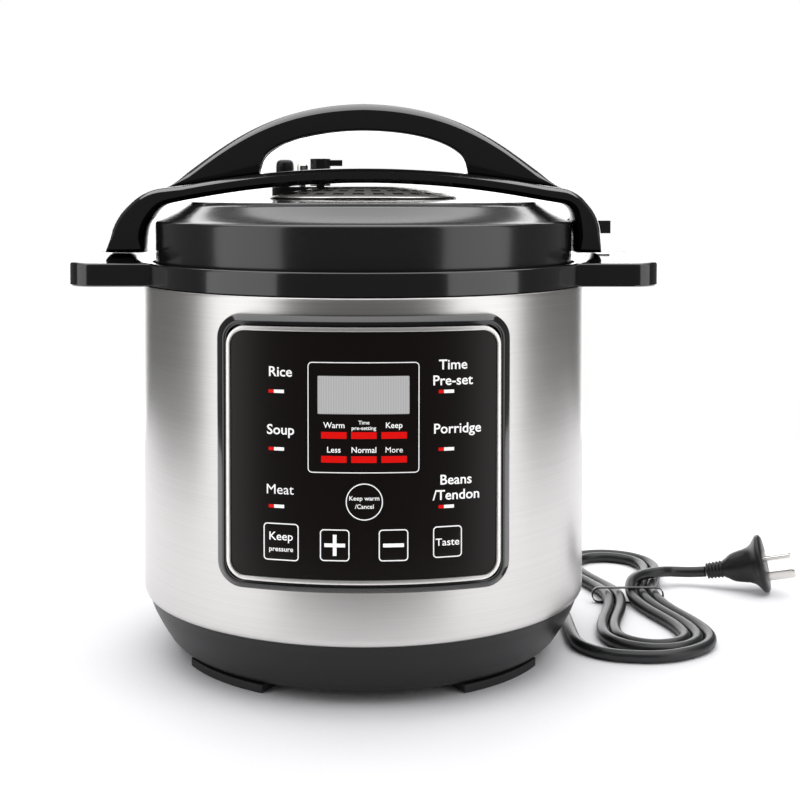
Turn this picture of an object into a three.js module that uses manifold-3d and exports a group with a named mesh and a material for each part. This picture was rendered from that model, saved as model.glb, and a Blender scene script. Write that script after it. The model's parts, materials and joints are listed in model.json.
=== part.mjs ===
// Electric pressure cooker, 6 litre, millimetres, +Z up, front towards -Y.
// The origin is on the axis of the body, on the surface that the feet stand on.
import * as THREE from "three";
import { mergeVertices } from "three/addons/utils/BufferGeometryUtils.js";
import Module from "manifold-3d";

// ---------------------------------------------------------------- driving dimensions
const gap = 0.3; // between two pieces that touch
const roundSides = 36; // facets of the large turned pieces
const smallSides = 16; // facets of pins, posts and screws

const bodyRadius = 130;
const shellWall = 1;
const shellHeight = 179;
const baseLift = 5; // ground to the underside of the base
const baseHeight = 36; // ground to the lower edge of the steel shell
const baseWall = 2.5;
const footSpan = THREE.MathUtils.degToRad(32);
const footWidth = 15;
const footInset = 18; // body radius to the outer edge of a foot

const collarHeight = 13.3;
const collarRimWidth = 4;
const handleReach = 170.7; // axis to the tip of a side handle
const handleHalfWidth = 44;
const handleCrown = 4.7; // how far a side handle is crowned above the collar
const parkingSlot = { length: 15, width: 5, depth: 10, inset: 20 };

const potRadius = 111;
const potWall = 1.5;
const potRimWidth = 6.6;
const wellWall = 1.2;
const wellClearance = 2; // pot to pressure shell
const wellFlange = 4.8;
const bayonetTeeth = 6;

const plateInset = 19; // pot radius to the rim of the heating plate
const plateLedge = 10; // plate radius to the opening in the floor of the pressure shell
const plateTop = 57.6;
const plateThickness = 11.6;
const plateFootWidth = 5;
const sensorHole = 19.5;
const sensorRadius = 17;
const sensorSkirt = 14;
const sensorWall = 1.5;

const lidRadius = 124;
const lidWall = 1.5;
const lidRimHeight = 23.7; // all lid heights are above the top of the collar
const lidSkirtDrop = 7.8;
const coverRadius = 103;
const coverEdge = 34.7;
const coverWall = 2.5;
const domeRadius = 57;
const domeFoot = 36.7;
const domeRise = 7;

const strapHalfWidth = 30;
const strapTop = 54.7;
const strapThickness = 8.6;
const strapShoulder = { x: 117, h: 42.2 };
const strapLeft = 150.6;
const strapRight = 139.1;
const strapLegLeft = 24;
const strapLegRight = 14;
const legLift = 0.6; // strap leg above the crown of a side handle
const archTop = 93.1;
const archHalfWidth = 17;
const gripHalfLength = 59.5;
const gripTop = 77;
const gripShoulder = 59;

const panelSize = { width: 152, height: 142, corner: 13 };
const trimSize = { width: 141.6, height: 130.8, corner: 10 };
const trimWidth = 2.3;
const panelRadius = 185; // the panel is flatter than the body
const panelProud = 7.5; // body radius to the front of the panel
const faceDepth = 3.7;
const ledge = 5;
const keyLength = 11.5; // front of the panel to the back of the keys
const keyRoom = 0.3; // round a key in its opening
const keyLip = 1.2;

const cordDiameter = 7;

// Keys: centre and size on the panel, from the middle of the panel.
const keys = {
  key_keep_pressure: { x: -42, z: -44.5, width: 18.7, height: 19.7 },
  key_plus: { x: -14.6, z: -45.2, width: 15.6, height: 16.8 },
  key_minus: { x: 15.2, z: -45.2, width: 15.6, height: 16.8 },
  key_taste: { x: 42.8, z: -44.4, width: 15.5, height: 16.7 },
};
const cancelKey = { x: 0.4, z: -23, radius: 9.65 };
const display = { x: 0, z: 31.1, width: 46.6, height: 19.4 };

// ---------------------------------------------------------------- levels worked out from them
const shellTop = baseHeight + shellHeight;
const collarTop = shellTop + collarHeight;
const crownTop = collarTop + handleCrown;
const gutterRadius = bodyRadius - collarRimWidth;
const potTop = collarTop - gap;
const potFloor = plateTop + 0.4; // underside of the pot, on the heating plate
const potDepth = potTop - potFloor - potWall;
const plateRadius = potRadius - plateInset;
const wellMouth = plateRadius - plateLedge;
const wellRadius = potRadius + wellClearance;
const wellTop = potTop - potWall - 2 * gap;
const wellFloor = 38; // inside of the pressure shell's floor
const panelFront = bodyRadius + panelProud; // axis to the front of the panel
const panelRise = Math.min(10.1, (shellHeight - panelSize.height) / 2 - 3); // its centre above that of the shell
const panelCentre = baseHeight + shellHeight / 2 + panelRise; // above the ground
const panelAxis = panelRadius - panelFront; // axis of the panel's curve, behind the body's

// ---------------------------------------------------------------- finishes
const finish = (color, roughness, metalness) =>
  new THREE.MeshStandardMaterial({ color, roughness, metalness });
const finishes = {
  brushedSteel: finish(0xb9b8b6, 0.32, 1),
  drawnSteel: finish(0x9c9c9c, 0.4, 1),
  castAluminium: finish(0xa9abad, 0.55, 1),
  glossBlack: finish(0x0e0d0e, 0.18, 0),
  satinBlack: finish(0x1c1b1c, 0.45, 0),
  enamelBlack: finish(0x141314, 0.25, 0),
  silverTrim: finish(0xd8d4d2, 0.25, 1),
  panelFilm: finish(0x0d0503, 0.3, 0),
  displayGlass: finish(0xbebebe, 0.2, 0),
  silicone: finish(0xc9c7c0, 0.6, 0),
  rubber: finish(0x1a1a1b, 0.7, 0),
  cordRubber: finish(0x17181a, 0.5, 0),
  circuitBoard: finish(0x2f5d3a, 0.5, 0),
  smokedPlastic: finish(0x3a3d42, 0.3, 0),
  nickel: finish(0xd9d7d2, 0.25, 1),
};

// ---------------------------------------------------------------- making solids
const wasm = await Module();
wasm.setup();

// A closed three.js geometry as a solid that can be joined and cut.
function solid(geometry) {
  const bare = new THREE.BufferGeometry().setAttribute(
    "position",
    (geometry.index ? geometry.toNonIndexed() : geometry).getAttribute("position"),
  );
  const merged = mergeVertices(bare, 1e-4);
  const index = merged.index.array;
  const corners = [];
  for (let i = 0; i < index.length; i += 3) {
    const [a, b, c] = index.slice(i, i + 3);
    if (a !== b && b !== c && c !== a) corners.push(a, b, c);
  }
  return new wasm.Manifold(
    new wasm.Mesh({
      numProp: 3,
      vertProperties: merged.attributes.position.array,
      triVerts: new Uint32Array(corners),
    }),
  );
}

// The solid's faces as a geometry again.
function geometryOf(made) {
  const faces = made.getMesh();
  return new THREE.BufferGeometry()
    .setAttribute("position", new THREE.BufferAttribute(faces.vertProperties, 3))
    .setIndex(new THREE.BufferAttribute(faces.triVerts, 1));
}

const joined = (...solids) => solids.reduce((whole, next) => whole.add(next));

// A profile of [radius, height] pairs turned about Z. It is a ring, or starts and ends on the axis.
function turned(profile, sides = roundSides) {
  const points = profile.map(([r, z]) => new THREE.Vector2(r, z));
  if (THREE.ShapeUtils.area(points) < 0) points.reverse();
  if (points[0].x > 0) points.push(points[0].clone());
  return solid(new THREE.LatheGeometry(points, sides).rotateX(Math.PI / 2));
}

// A round bar along Z from one height to another.
function bar(radius, low, high, sides = smallSides, x = 0, y = 0) {
  return solid(
    new THREE.CylinderGeometry(radius, radius, high - low, sides)
      .rotateX(Math.PI / 2)
      .translate(x, y, (low + high) / 2),
  );
}

// A block between two corners.
function block(low, high) {
  const size = high.map((v, i) => v - low[i]);
  return solid(
    new THREE.BoxGeometry(...size).translate(...low.map((v, i) => v + size[i] / 2)),
  );
}

function extruded(shape, depth, curveSegments) {
  return new THREE.ExtrudeGeometry(shape, { depth, bevelEnabled: false, curveSegments });
}

// An outline in X and Y, raised from one height to another.
function raised(shape, low, high, curveSegments = 4) {
  return solid(extruded(shape, high - low, curveSegments).translate(0, 0, low));
}

// An outline in X and Z, carried along Y.
function alongY(shape, from, to, curveSegments = 4) {
  return solid(
    extruded(shape, to - from, curveSegments).rotateX(Math.PI / 2).translate(0, to, 0),
  );
}

// An outline in Y and Z, carried along X.
function alongX(shape, from, to, curveSegments = 4) {
  const turn = new THREE.Matrix4().makeBasis(
    new THREE.Vector3(0, 1, 0),
    new THREE.Vector3(0, 0, 1),
    new THREE.Vector3(1, 0, 0),
  );
  return solid(
    extruded(shape, to - from, curveSegments).applyMatrix4(turn).translate(from, 0, 0),
  );
}

function roundedRectangle(width, height, corner, x = 0, y = 0) {
  const [left, right, low, high] = [x - width / 2, x + width / 2, y - height / 2, y + height / 2];
  const outline = new THREE.Shape();
  outline.absarc(right - corner, high - corner, corner, 0, Math.PI / 2);
  outline.absarc(left + corner, high - corner, corner, Math.PI / 2, Math.PI);
  outline.absarc(left + corner, low + corner, corner, Math.PI, 1.5 * Math.PI);
  outline.absarc(right - corner, low + corner, corner, 1.5 * Math.PI, 2 * Math.PI);
  return outline;
}

function circle(radius, x = 0, y = 0) {
  return new THREE.Shape().absarc(x, y, radius, 0, 2 * Math.PI);
}

// Adds a named piece to a group.
function piece(group, name, made, finishName) {
  const shape = made.isBufferGeometry ? made : geometryOf(made);
  const mesh = new THREE.Mesh(shape, finishes[finishName]);
  mesh.name = name;
  group.add(mesh);
  return mesh;
}

// ---------------------------------------------------------------- base
// Outside of the moulded bowl, from the middle of its floor up to the steel shell.
const bowl = [
  [0, baseLift],
  [bodyRadius - 22, baseLift],
  [bodyRadius - 16.4, baseLift + 2.4],
  [bodyRadius - 10.2, baseLift + 10.6],
  [bodyRadius - 4.8, baseHeight - 11.4],
  [bodyRadius - 1.5, baseHeight],
];
const ventSlots = { count: 10, from: 48, to: 84, width: 4 };
const spigot = { wall: 2, height: 6, room: 0.4 }; // the bowl's rim inside the shell
const glandAngle = THREE.MathUtils.degToRad(70);
const glandHeight = 19;
const gland = { root: 7.2, tip: 5, length: 38, start: 106, flange: 1.6 };
const postCircle = wellRadius - 15;
const postRadius = 5;
const centreScrew = { shaft: 3, head: 7, headHeight: 2.4, length: 31 };

function baseTray() {
  const spigotRadius = bodyRadius - shellWall - spigot.room;
  const inside = bowl
    .slice(0, -1)
    .map(([r, z], i) => (i < 2 ? [Math.max(r - baseWall * i, 0), z + baseWall] : [r - baseWall, z + 1]))
    .reverse();
  const shell = turned([
    ...bowl,
    [spigotRadius, baseHeight],
    [spigotRadius, baseHeight + spigot.height],
    [spigotRadius - spigot.wall, baseHeight + spigot.height],
    [spigotRadius - spigot.wall, baseHeight - 3],
    ...inside,
  ]);
  const cuts = [bar(centreScrew.shaft + gap, 0, 20), glandBore()];
  for (let i = 0; i < ventSlots.count; i++) {
    const slot = block([ventSlots.from, -ventSlots.width / 2, 0], [ventSlots.to, ventSlots.width / 2, 12]);
    cuts.push(slot.rotate([0, 0, (360 / ventSlots.count) * (i + 0.5)]));
  }
  return shell.subtract(joined(...cuts));
}

// The hole in the bowl that the strain relief passes through.
function glandBore() {
  const bore = solid(
    new THREE.CylinderGeometry(gland.root + gap, gland.root + gap, 40, smallSides).rotateZ(Math.PI / 2),
  );
  return bore.rotate([0, 0, THREE.MathUtils.radToDeg(glandAngle)]).translate([
    gland.start * Math.cos(glandAngle),
    gland.start * Math.sin(glandAngle),
    glandHeight,
  ]);
}

// One rubber foot: an arc-shaped pad, centred on +X.
function foot() {
  const outer = bodyRadius - footInset;
  const outline = new THREE.Shape();
  outline.absarc(0, 0, outer, -footSpan / 2, footSpan / 2);
  outline.absarc(0, 0, outer - footWidth, footSpan / 2, -footSpan / 2, true);
  return raised(outline, 0, baseLift - gap, 8);
}

const cooker = new THREE.Group();
const base = new THREE.Group();
cooker.add(base);
piece(base, "base_tray", baseTray(), "satinBlack");
["rear_right", "rear_left", "front_left", "front_right"].forEach((place, i) => {
  piece(base, "foot_" + place, foot(), "rubber").rotation.z = Math.PI * (0.25 + 0.5 * i);
});
for (let i = 0; i < 3; i++) {
  const angle = Math.PI * (0.5 + (2 * i) / 3);
  const post = bar(postRadius, baseLift + baseWall + gap, wellFloor - wellWall - gap);
  piece(base, "support_post_" + (i + 1), post, "drawnSteel").position.set(
    postCircle * Math.cos(angle),
    postCircle * Math.sin(angle),
    0,
  );
}

// ---------------------------------------------------------------- steel shell and collar
const cupSize = {
  width: 60,
  height: 47,
  wall: 1.5,
  inner: bodyRadius - 8,
  outer: bodyRadius + 11.5,
  top: shellTop - 15,
};
const pocket = { wall: 2, room: 1, flange: 4, back: cupSize.inner - 2.3 };
const pocketWidth = cupSize.width + 2 * (pocket.room + pocket.wall);
const pocketHeight = cupSize.height + 2 * (pocket.room + pocket.wall);
const pocketCentre = cupSize.top - cupSize.height / 2;

function outerShell() {
  const tube = turned([
    [bodyRadius - shellWall, baseHeight + gap],
    [bodyRadius, baseHeight + gap],
    [bodyRadius, shellTop - gap],
    [bodyRadius - shellWall, shellTop - gap],
  ]);
  const margin = 6;
  const window = roundedRectangle(
    panelSize.width - margin, panelSize.height - margin, panelSize.corner - margin / 2, 0, panelCentre,
  );
  const rear = roundedRectangle(pocketWidth + 2 * gap, pocketHeight + 2 * gap, 4, 0, pocketCentre);
  return tube.subtract(alongY(window, -bodyRadius - 10, -60)).subtract(alongY(rear, 60, bodyRadius + 10));
}

// Ring, gutter and the upstand that carries the pressure shell's flange.
function collarRing() {
  const upstand = wellTop - 1.9 - gap;
  const gutter = shellTop + 3;
  const lip = { inner: wellRadius + wellWall + 1.8, wall: 1.6 };
  const skirt = { outer: bodyRadius - shellWall - spigot.room, wall: 1.8, depth: 11 };
  return turned([
    [bodyRadius, shellTop],
    [bodyRadius, collarTop - 0.8],
    [bodyRadius - 0.8, collarTop],
    [gutterRadius, collarTop],
    [gutterRadius, gutter],
    [lip.inner + lip.wall, gutter],
    [lip.inner + lip.wall, upstand],
    [lip.inner, upstand],
    [lip.inner, shellTop],
    [skirt.outer - skirt.wall, shellTop],
    [skirt.outer - skirt.wall, shellTop - skirt.depth],
    [skirt.outer, shellTop - skirt.depth],
    [skirt.outer, shellTop],
  ]);
}

// One side handle, towards +X: a slab with rounded corners, crowned along both directions.
function sideHandle() {
  const rootX = 90;
  const plan = roundedRectangle(
    2 * (handleReach - rootX), 2 * handleHalfWidth, 16, rootX, 0,
  );
  const across = new THREE.Shape()
    .moveTo(-handleHalfWidth, shellTop)
    .lineTo(handleHalfWidth, shellTop)
    .lineTo(handleHalfWidth, collarTop)
    .quadraticCurveTo(0, crownTop + handleCrown, -handleHalfWidth, collarTop);
  const along = new THREE.Shape()
    .moveTo(rootX, shellTop)
    .lineTo(handleReach - 1.2, shellTop)
    .lineTo(handleReach, collarTop)
    .quadraticCurveTo(handleReach - 10, crownTop, handleReach - 22, crownTop)
    .lineTo(rootX, crownTop);
  return raised(plan, shellTop, crownTop + 1)
    .intersect(alongX(across, rootX, handleReach + 1, 10))
    .intersect(alongY(along, -handleHalfWidth, handleHalfWidth));
}

// The rear lip with the channel that lets condensate run into the cup.
function drainLip() {
  const lip = block([-20, bodyRadius - 3, shellTop], [20, cupSize.outer - 2.5, shellTop + 8]);
  const channel = block([-3, wellRadius + 8, shellTop + 3], [3, bodyRadius + 6, shellTop + 6]);
  return { lip, channel: channel.add(bar(3, shellTop - 2, shellTop + 5, 12, 0, bodyRadius + 3)) };
}

function collar() {
  const inside = bar(gutterRadius, shellTop - 5, crownTop + 5, roundSides);
  const handle = sideHandle();
  const handles = joined(handle, handle.rotate([0, 0, 180])).subtract(inside);
  const slotX = handleReach - parkingSlot.inset;
  const slot = block(
    [slotX - parkingSlot.length / 2, -parkingSlot.width / 2, crownTop - parkingSlot.depth],
    [slotX + parkingSlot.length / 2, parkingSlot.width / 2, crownTop + 1],
  );
  const drain = drainLip();
  return joined(collarRing(), handles, drain.lip).subtract(slot).subtract(drain.channel);
}

piece(cooker, "outer_shell", outerShell(), "brushedSteel");
piece(cooker, "collar", collar(), "glossBlack");

// ---------------------------------------------------------------- condensate cup and its pocket
function cupPocket() {
  const slab = (extra) => roundedRectangle(pocketWidth + 2 * extra, pocketHeight + 2 * extra, 4, 0, pocketCentre);
  const room = roundedRectangle(
    pocketWidth - 2 * pocket.wall, pocketHeight - 2 * pocket.wall, 3, 0, pocketCentre,
  );
  const face = bar(bodyRadius + gap + 1.5, 0, collarTop, roundSides);
  const body = bar(bodyRadius + gap, 0, collarTop + 5, roundSides);
  const sleeve = alongY(slab(0), pocket.back, bodyRadius + 5).intersect(face);
  const flange = alongY(slab(pocket.flange), 80, bodyRadius + 5).intersect(face).subtract(body);
  return joined(sleeve, flange).subtract(alongY(room, pocket.back + pocket.wall, bodyRadius + 9));
}

function condensateCup() {
  const { width, height, wall, inner, outer, top } = cupSize;
  const back = bar(outer, 0, top + 5, roundSides);
  const hollow = bar(outer - wall, 0, top + 10, roundSides);
  const low = top - height;
  const outside = block([-width / 2, inner, low], [width / 2, outer + 5, top]).intersect(back);
  const inside = block(
    [-width / 2 + wall, inner + wall, low + wall],
    [width / 2 - wall, outer + 5, top + 5],
  ).intersect(hollow);
  return outside.subtract(inside);
}

piece(cooker, "cup_pocket", cupPocket(), "satinBlack");
piece(cooker, "condensate_cup", condensateCup(), "smokedPlastic");

// ---------------------------------------------------------------- pressure shell and pot
function pressureShell() {
  const outer = wellRadius + wellWall;
  const flange = { radius: outer + wellFlange, thickness: 1.9 };
  const shell = turned([
    [wellMouth, wellFloor - wellWall],
    [outer - 8, wellFloor - wellWall],
    [outer, wellFloor + 7],
    [outer, wellTop - flange.thickness],
    [flange.radius, wellTop - flange.thickness],
    [flange.radius, wellTop],
    [wellRadius, wellTop],
    [wellRadius, wellFloor + 8],
    [wellRadius - 7.5, wellFloor],
    [wellMouth, wellFloor],
  ]);
  const notches = [];
  for (let i = 0; i < bayonetTeeth; i++) {
    const notch = block([outer + 2, -16, wellTop - 3], [outer + 10, 16, wellTop + 2]);
    notches.push(notch.rotate([0, 0, (360 / bayonetTeeth) * i]));
  }
  return shell.subtract(joined(...notches));
}

function innerPot() {
  const floor = potTop - potDepth - potWall;
  const corner = 8;
  return turned([
    [0, floor],
    [potRadius - corner, floor],
    [potRadius - 2.4, floor + 2.4],
    [potRadius, floor + corner],
    [potRadius, potTop - potWall],
    [potRadius + potRimWidth, potTop - potWall],
    [potRadius + potRimWidth, potTop],
    [potRadius - potWall, potTop],
    [potRadius - potWall, floor + corner + 0.6],
    [potRadius - potWall - 2, floor + potWall + 2.4],
    [potRadius - potWall - corner + 0.6, floor + potWall],
    [0, floor + potWall],
  ]);
}

piece(cooker, "pressure_shell", pressureShell(), "drawnSteel");
piece(cooker, "inner_pot", innerPot(), "castAluminium");

// ---------------------------------------------------------------- heater and sensor
const bracket = { length: 190, width: 18, thickness: 1.5 };
const bracketTop = wellFloor - wellWall - gap;
const heater = { ring: plateRadius - 22, halfWidth: 5, height: 5 };
const holder = { outer: 12, wall: 1.5, height: 13 };
const spring = { radius: 7, wire: 1.3, turns: 5 };

function heatingPlate() {
  const under = plateTop - plateThickness;
  return turned([
    [sensorHole, under],
    [plateRadius - plateFootWidth - 1, under],
    [plateRadius - plateFootWidth - 1, wellFloor + gap],
    [plateRadius - 1, wellFloor + gap],
    [plateRadius, under],
    [plateRadius, plateTop - 3],
    [plateRadius - 3, plateTop],
    [sensorHole, plateTop],
  ]);
}

function sensorCap() {
  const top = plateTop + 0.1;
  return turned(
    [
      [0, top - 2],
      [sensorSkirt - sensorWall, top - 2],
      [sensorSkirt - sensorWall, top - 11],
      [sensorSkirt, top - 11],
      [sensorSkirt, top - 2],
      [sensorRadius, top - 2],
      [sensorRadius, top - 0.6],
      [sensorRadius - 0.6, top],
      [0, top],
    ],
    24,
  );
}

// A coil spring between the holder's floor and the cap.
function sensorSpring(low, high) {
  const rise = high - low - spring.wire;
  class Coil extends THREE.Curve {
    getPoint(t) {
      const angle = 2 * Math.PI * spring.turns * t;
      return new THREE.Vector3(
        spring.radius * Math.cos(angle),
        spring.radius * Math.sin(angle),
        low + spring.wire / 2 + rise * t,
      );
    }
  }
  const section = new THREE.Shape().absarc(0, 0, spring.wire / 2, 0, 2 * Math.PI);
  return new THREE.ExtrudeGeometry(section, {
    steps: spring.turns * 10,
    curveSegments: 3,
    extrudePath: new Coil(),
  });
}

const heating = new THREE.Group();
cooker.add(heating);
piece(heating, "heating_plate", heatingPlate(), "castAluminium");
const heaterTop = plateTop - plateThickness - gap;
piece(
  heating,
  "heater_element",
  turned([
    [heater.ring - heater.halfWidth, heaterTop - heater.height],
    [heater.ring + heater.halfWidth, heaterTop - heater.height],
    [heater.ring + heater.halfWidth, heaterTop],
    [heater.ring - heater.halfWidth, heaterTop],
  ], 40),
  "drawnSteel",
);
piece(
  heating,
  "centre_bracket",
  block(
    [-bracket.length / 2, -bracket.width / 2, bracketTop - bracket.thickness],
    [bracket.length / 2, bracket.width / 2, bracketTop],
  ).subtract(bar(centreScrew.shaft + gap, bracketTop - 5, bracketTop + 5)),
  "drawnSteel",
);
const holderFloor = bracketTop + gap;
piece(
  heating,
  "sensor_holder",
  turned(
    [
      [centreScrew.shaft + gap, holderFloor],
      [holder.outer, holderFloor],
      [holder.outer, holderFloor + holder.height],
      [holder.outer - holder.wall, holderFloor + holder.height],
      [holder.outer - holder.wall, holderFloor + holder.wall],
      [centreScrew.shaft + gap, holderFloor + holder.wall],
    ],
    24,
  ),
  "drawnSteel",
);
const springFoot = holderFloor + holder.wall + gap;
piece(heating, "sensor_spring", sensorSpring(springFoot, plateTop - 1.9 - gap), "nickel");
piece(heating, "sensor_cap", sensorCap(), "castAluminium");
piece(
  heating,
  "centre_screw",
  joined(
    bar(centreScrew.head, baseLift - gap - centreScrew.headHeight, baseLift - gap),
    bar(centreScrew.shaft, baseLift - 1, baseLift + centreScrew.length),
  ),
  "drawnSteel",
);
const switchBlock = { width: 24, depth: 15, height: 12, circle: postCircle };
piece(
  heating,
  "pressure_switch",
  joined(
    block(
      [-switchBlock.width / 2, -switchBlock.depth / 2, bracketTop - switchBlock.height],
      [switchBlock.width / 2, switchBlock.depth / 2, bracketTop],
    ),
    block([-3, -2, bracketTop - switchBlock.height - 5], [-1, 2, bracketTop - switchBlock.height + 1]),
    block([4, -2, bracketTop - switchBlock.height - 5], [6, 2, bracketTop - switchBlock.height + 1]),
  ),
  "satinBlack",
).position.set(switchBlock.circle * Math.cos(2.2 * Math.PI), switchBlock.circle * Math.sin(2.2 * Math.PI), 0);

// The power board in the base, with its relay, capacitor and terminal block.
const board = { width: 56, depth: 80, thickness: 1.6, level: 13 };
piece(
  base,
  "power_board",
  joined(
    block([-board.width / 2, -board.depth / 2, 0], [board.width / 2, board.depth / 2, board.thickness]),
    block([-20, -32, 1], [-2, -14, 15]),
    bar(6, 1, 15, 16, 12, -22),
    block([-22, 10, 1], [22, 22, 11]),
    bar(2.5, baseLift + baseWall + gap - board.level, 1, 10, -22, -34),
    bar(2.5, baseLift + baseWall + gap - board.level, 1, 10, 22, 34),
  ),
  "circuitBoard",
).position.set(-46, 6, board.level);

// ---------------------------------------------------------------- control panel
const panel = new THREE.Group();
panel.position.z = panelCentre;
cooker.add(panel);

// The curved space behind the panel's front, or behind a surface that lies deeper.
const behindFront = (depth) =>
  bar(panelRadius - depth, -100, 100, 48, 0, panelAxis);

// An outline on the panel between two depths below its front.
function panelSlab(outline, front, back) {
  return alongY(outline, -bodyRadius - 30, -80).intersect(behindFront(front)).subtract(behindFront(back));
}

const opening = (size, shrink) =>
  roundedRectangle(size.width - 2 * shrink, size.height - 2 * shrink, size.corner - shrink);
const keyOutline = (key, grow) =>
  roundedRectangle(key.width + 2 * grow, key.height + 2 * grow, 2.2 + grow, key.x, key.z);

function panelBezel() {
  const pocketDepth = faceDepth + gap;
  const frame = alongY(opening(panelSize, 0), -bodyRadius - 30, -80).intersect(behindFront(0));
  const room = alongY(opening(trimSize, -gap), -bodyRadius - 30, -60).subtract(behindFront(pocketDepth));
  const through = alongY(opening(trimSize, ledge), -bodyRadius - 30, -60);
  return frame
    .subtract(room)
    .subtract(through)
    .subtract(bar(bodyRadius + gap, -120, 120, roundSides));
}

function panelFace() {
  const slab = panelSlab(opening(trimSize, trimWidth + gap), 0.4, faceDepth);
  const holes = Object.values(keys).map((key) => alongY(keyOutline(key, keyRoom), -bodyRadius - 30, -80));
  holes.push(alongY(circle(cancelKey.radius + keyRoom, cancelKey.x, cancelKey.z), -bodyRadius - 30, -80));
  holes.push(alongY(roundedRectangle(display.width, display.height, 1, display.x, display.z), -bodyRadius - 30, -80));
  return slab.subtract(joined(...holes));
}

// A key: its cap in the face's opening, and a wider lip behind the face that keeps it in.
function panelKey(capOutline, lipOutline) {
  const cap = alongY(capOutline, -panelFront - 10, keyLength - panelFront).intersect(behindFront(0.1));
  const lip = alongY(lipOutline, -panelFront - 10, keyLength - panelFront).intersect(behindFront(faceDepth + gap));
  return cap.add(lip);
}

const circuit = { width: 122, height: 112, thickness: 1.6, front: 122.8, button: 1.6 };

function controlBoard() {
  const sheet = block(
    [-circuit.width / 2, -circuit.front, -circuit.height / 2 - 1],
    [circuit.width / 2, -circuit.front + circuit.thickness, circuit.height / 2 - 1],
  );
  const buttons = [...Object.values(keys), cancelKey].map((key) =>
    block(
      [key.x - 3, -circuit.front - circuit.button, key.z - 3],
      [key.x + 3, -circuit.front + 0.5, key.z + 3],
    ),
  );
  return joined(sheet, ...buttons);
}

piece(panel, "panel_bezel", panelBezel(), "glossBlack");
piece(
  panel,
  "panel_trim",
  panelSlab(opening(trimSize, 0), -0.4, faceDepth).subtract(
    alongY(opening(trimSize, trimWidth), -bodyRadius - 30, -60),
  ),
  "silverTrim",
);
piece(panel, "panel_face", panelFace(), "panelFilm");
piece(
  panel,
  "display_window",
  panelSlab(
    roundedRectangle(display.width - 2 * gap, display.height - 2 * gap, 0.8, display.x, display.z),
    0.3,
    faceDepth,
  ),
  "displayGlass",
);
piece(
  panel,
  "display_module",
  block(
    [display.x - 26, -circuit.front - 7, display.z - 12],
    [display.x + 26, -circuit.front - gap, display.z + 12],
  ),
  "satinBlack",
);
piece(panel, "control_board", controlBoard(), "circuitBoard");
for (const [name, key] of Object.entries(keys)) {
  piece(panel, name, panelKey(keyOutline(key, 0), keyOutline(key, keyLip)), "panelFilm");
}
piece(
  panel,
  "key_cancel",
  panelKey(
    circle(cancelKey.radius, cancelKey.x, cancelKey.z),
    circle(cancelKey.radius + keyLip, cancelKey.x, cancelKey.z),
  ),
  "panelFilm",
);

// ---------------------------------------------------------------- lid
const lid = new THREE.Group();
lid.position.z = collarTop;
cooker.add(lid);

const hub = { stem: 8.5, head: 12, plateTop: 7.5 };
const recess = 31.5; // top of the lid shell under the cover
const valves = {
  deck: { low: 37.2, high: 44, left: -58, right: -18, front: 38, back: 58 },
  vent: { x: -50, y: 48, pipe: 3.5, cap: 5.6, bore: 4.2, top: 61.2 },
  float: { x: -38.8, y: 46, stem: 2.2, head: 3.5, top: 58.5, travel: 5 },
  lever: { x: -27.5, y: 49, hub: 6.5, post: 2.6, top: 61.8, reach: 14, width: 5 },
};
const stemRoom = 0.7;

// Height of the cover's outside at a radius: a low cone, then a dome.
const coverHeight = (r) =>
  r < domeRadius
    ? domeFoot + domeRise * (1 - (r / domeRadius) ** 2)
    : coverEdge + ((domeFoot - coverEdge) * (coverRadius - r)) / (coverRadius - domeRadius);
const coverStations = [0, 20, 40, domeRadius];

// Everything the lid takes up, grown by a margin: pieces that sit on the lid are cut by it.
function lidSpace(margin) {
  return turned([
    [0, -30],
    [lidRadius + margin, -30],
    [lidRadius + margin, lidRimHeight],
    [coverRadius + 0.6, coverEdge + margin],
    ...[...coverStations].reverse().map((r) => [r, coverHeight(r) + margin]),
  ]);
}

function lidShell() {
  const skirt = lidRadius - lidWall;
  const shell = turned([
    [hub.stem + 0.5, recess - lidWall],
    [coverRadius - 2, recess - lidWall],
    [skirt - 1, lidRimHeight - 3],
    [skirt, lidRimHeight - 4],
    [skirt, -lidSkirtDrop],
    [lidRadius, -lidSkirtDrop],
    [lidRadius, lidRimHeight - 1.5],
    [lidRadius - 1.5, lidRimHeight],
    [coverRadius + 0.5, coverEdge - 0.5],
    [coverRadius + 0.3, recess],
    [hub.stem + 0.5, recess],
  ]);
  const toothInner = wellRadius + wellWall + wellFlange + 0.6;
  const tooth = turned([
    [toothInner, -lidSkirtDrop],
    [skirt + 0.5, -lidSkirtDrop],
    [skirt + 0.5, -lidSkirtDrop + 2.9],
    [toothInner, -lidSkirtDrop + 2.9],
  ]);
  const teeth = [];
  for (let i = 0; i < bayonetTeeth; i++) {
    const sector = block([100, -14, -20], [140, 14, 10]).rotate([0, 0, (360 / bayonetTeeth) * (i + 0.5)]);
    teeth.push(tooth.intersect(sector));
  }
  return joined(shell, ...teeth).subtract(valveHoles());
}

function lidCover() {
  const edge = coverRadius - 0.3;
  const under = edge - 3;
  return turned([
    ...coverStations.map((r) => [r, coverHeight(r)]),
    [edge, coverEdge],
    [edge, recess + gap],
    [under, recess + gap],
    ...[...coverStations].reverse().map((r) => [r, coverHeight(r) - coverWall]),
  ]).subtract(valveHoles());
}

// The holes in the lid and its cover for the vent pipe and the float.
function valveHoles() {
  const { vent, float } = valves;
  return joined(
    bar(vent.pipe + gap, 15, 60, 16, vent.x, vent.y),
    bar(float.stem + stemRoom, 15, 60, 16, float.x, float.y),
  );
}

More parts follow.
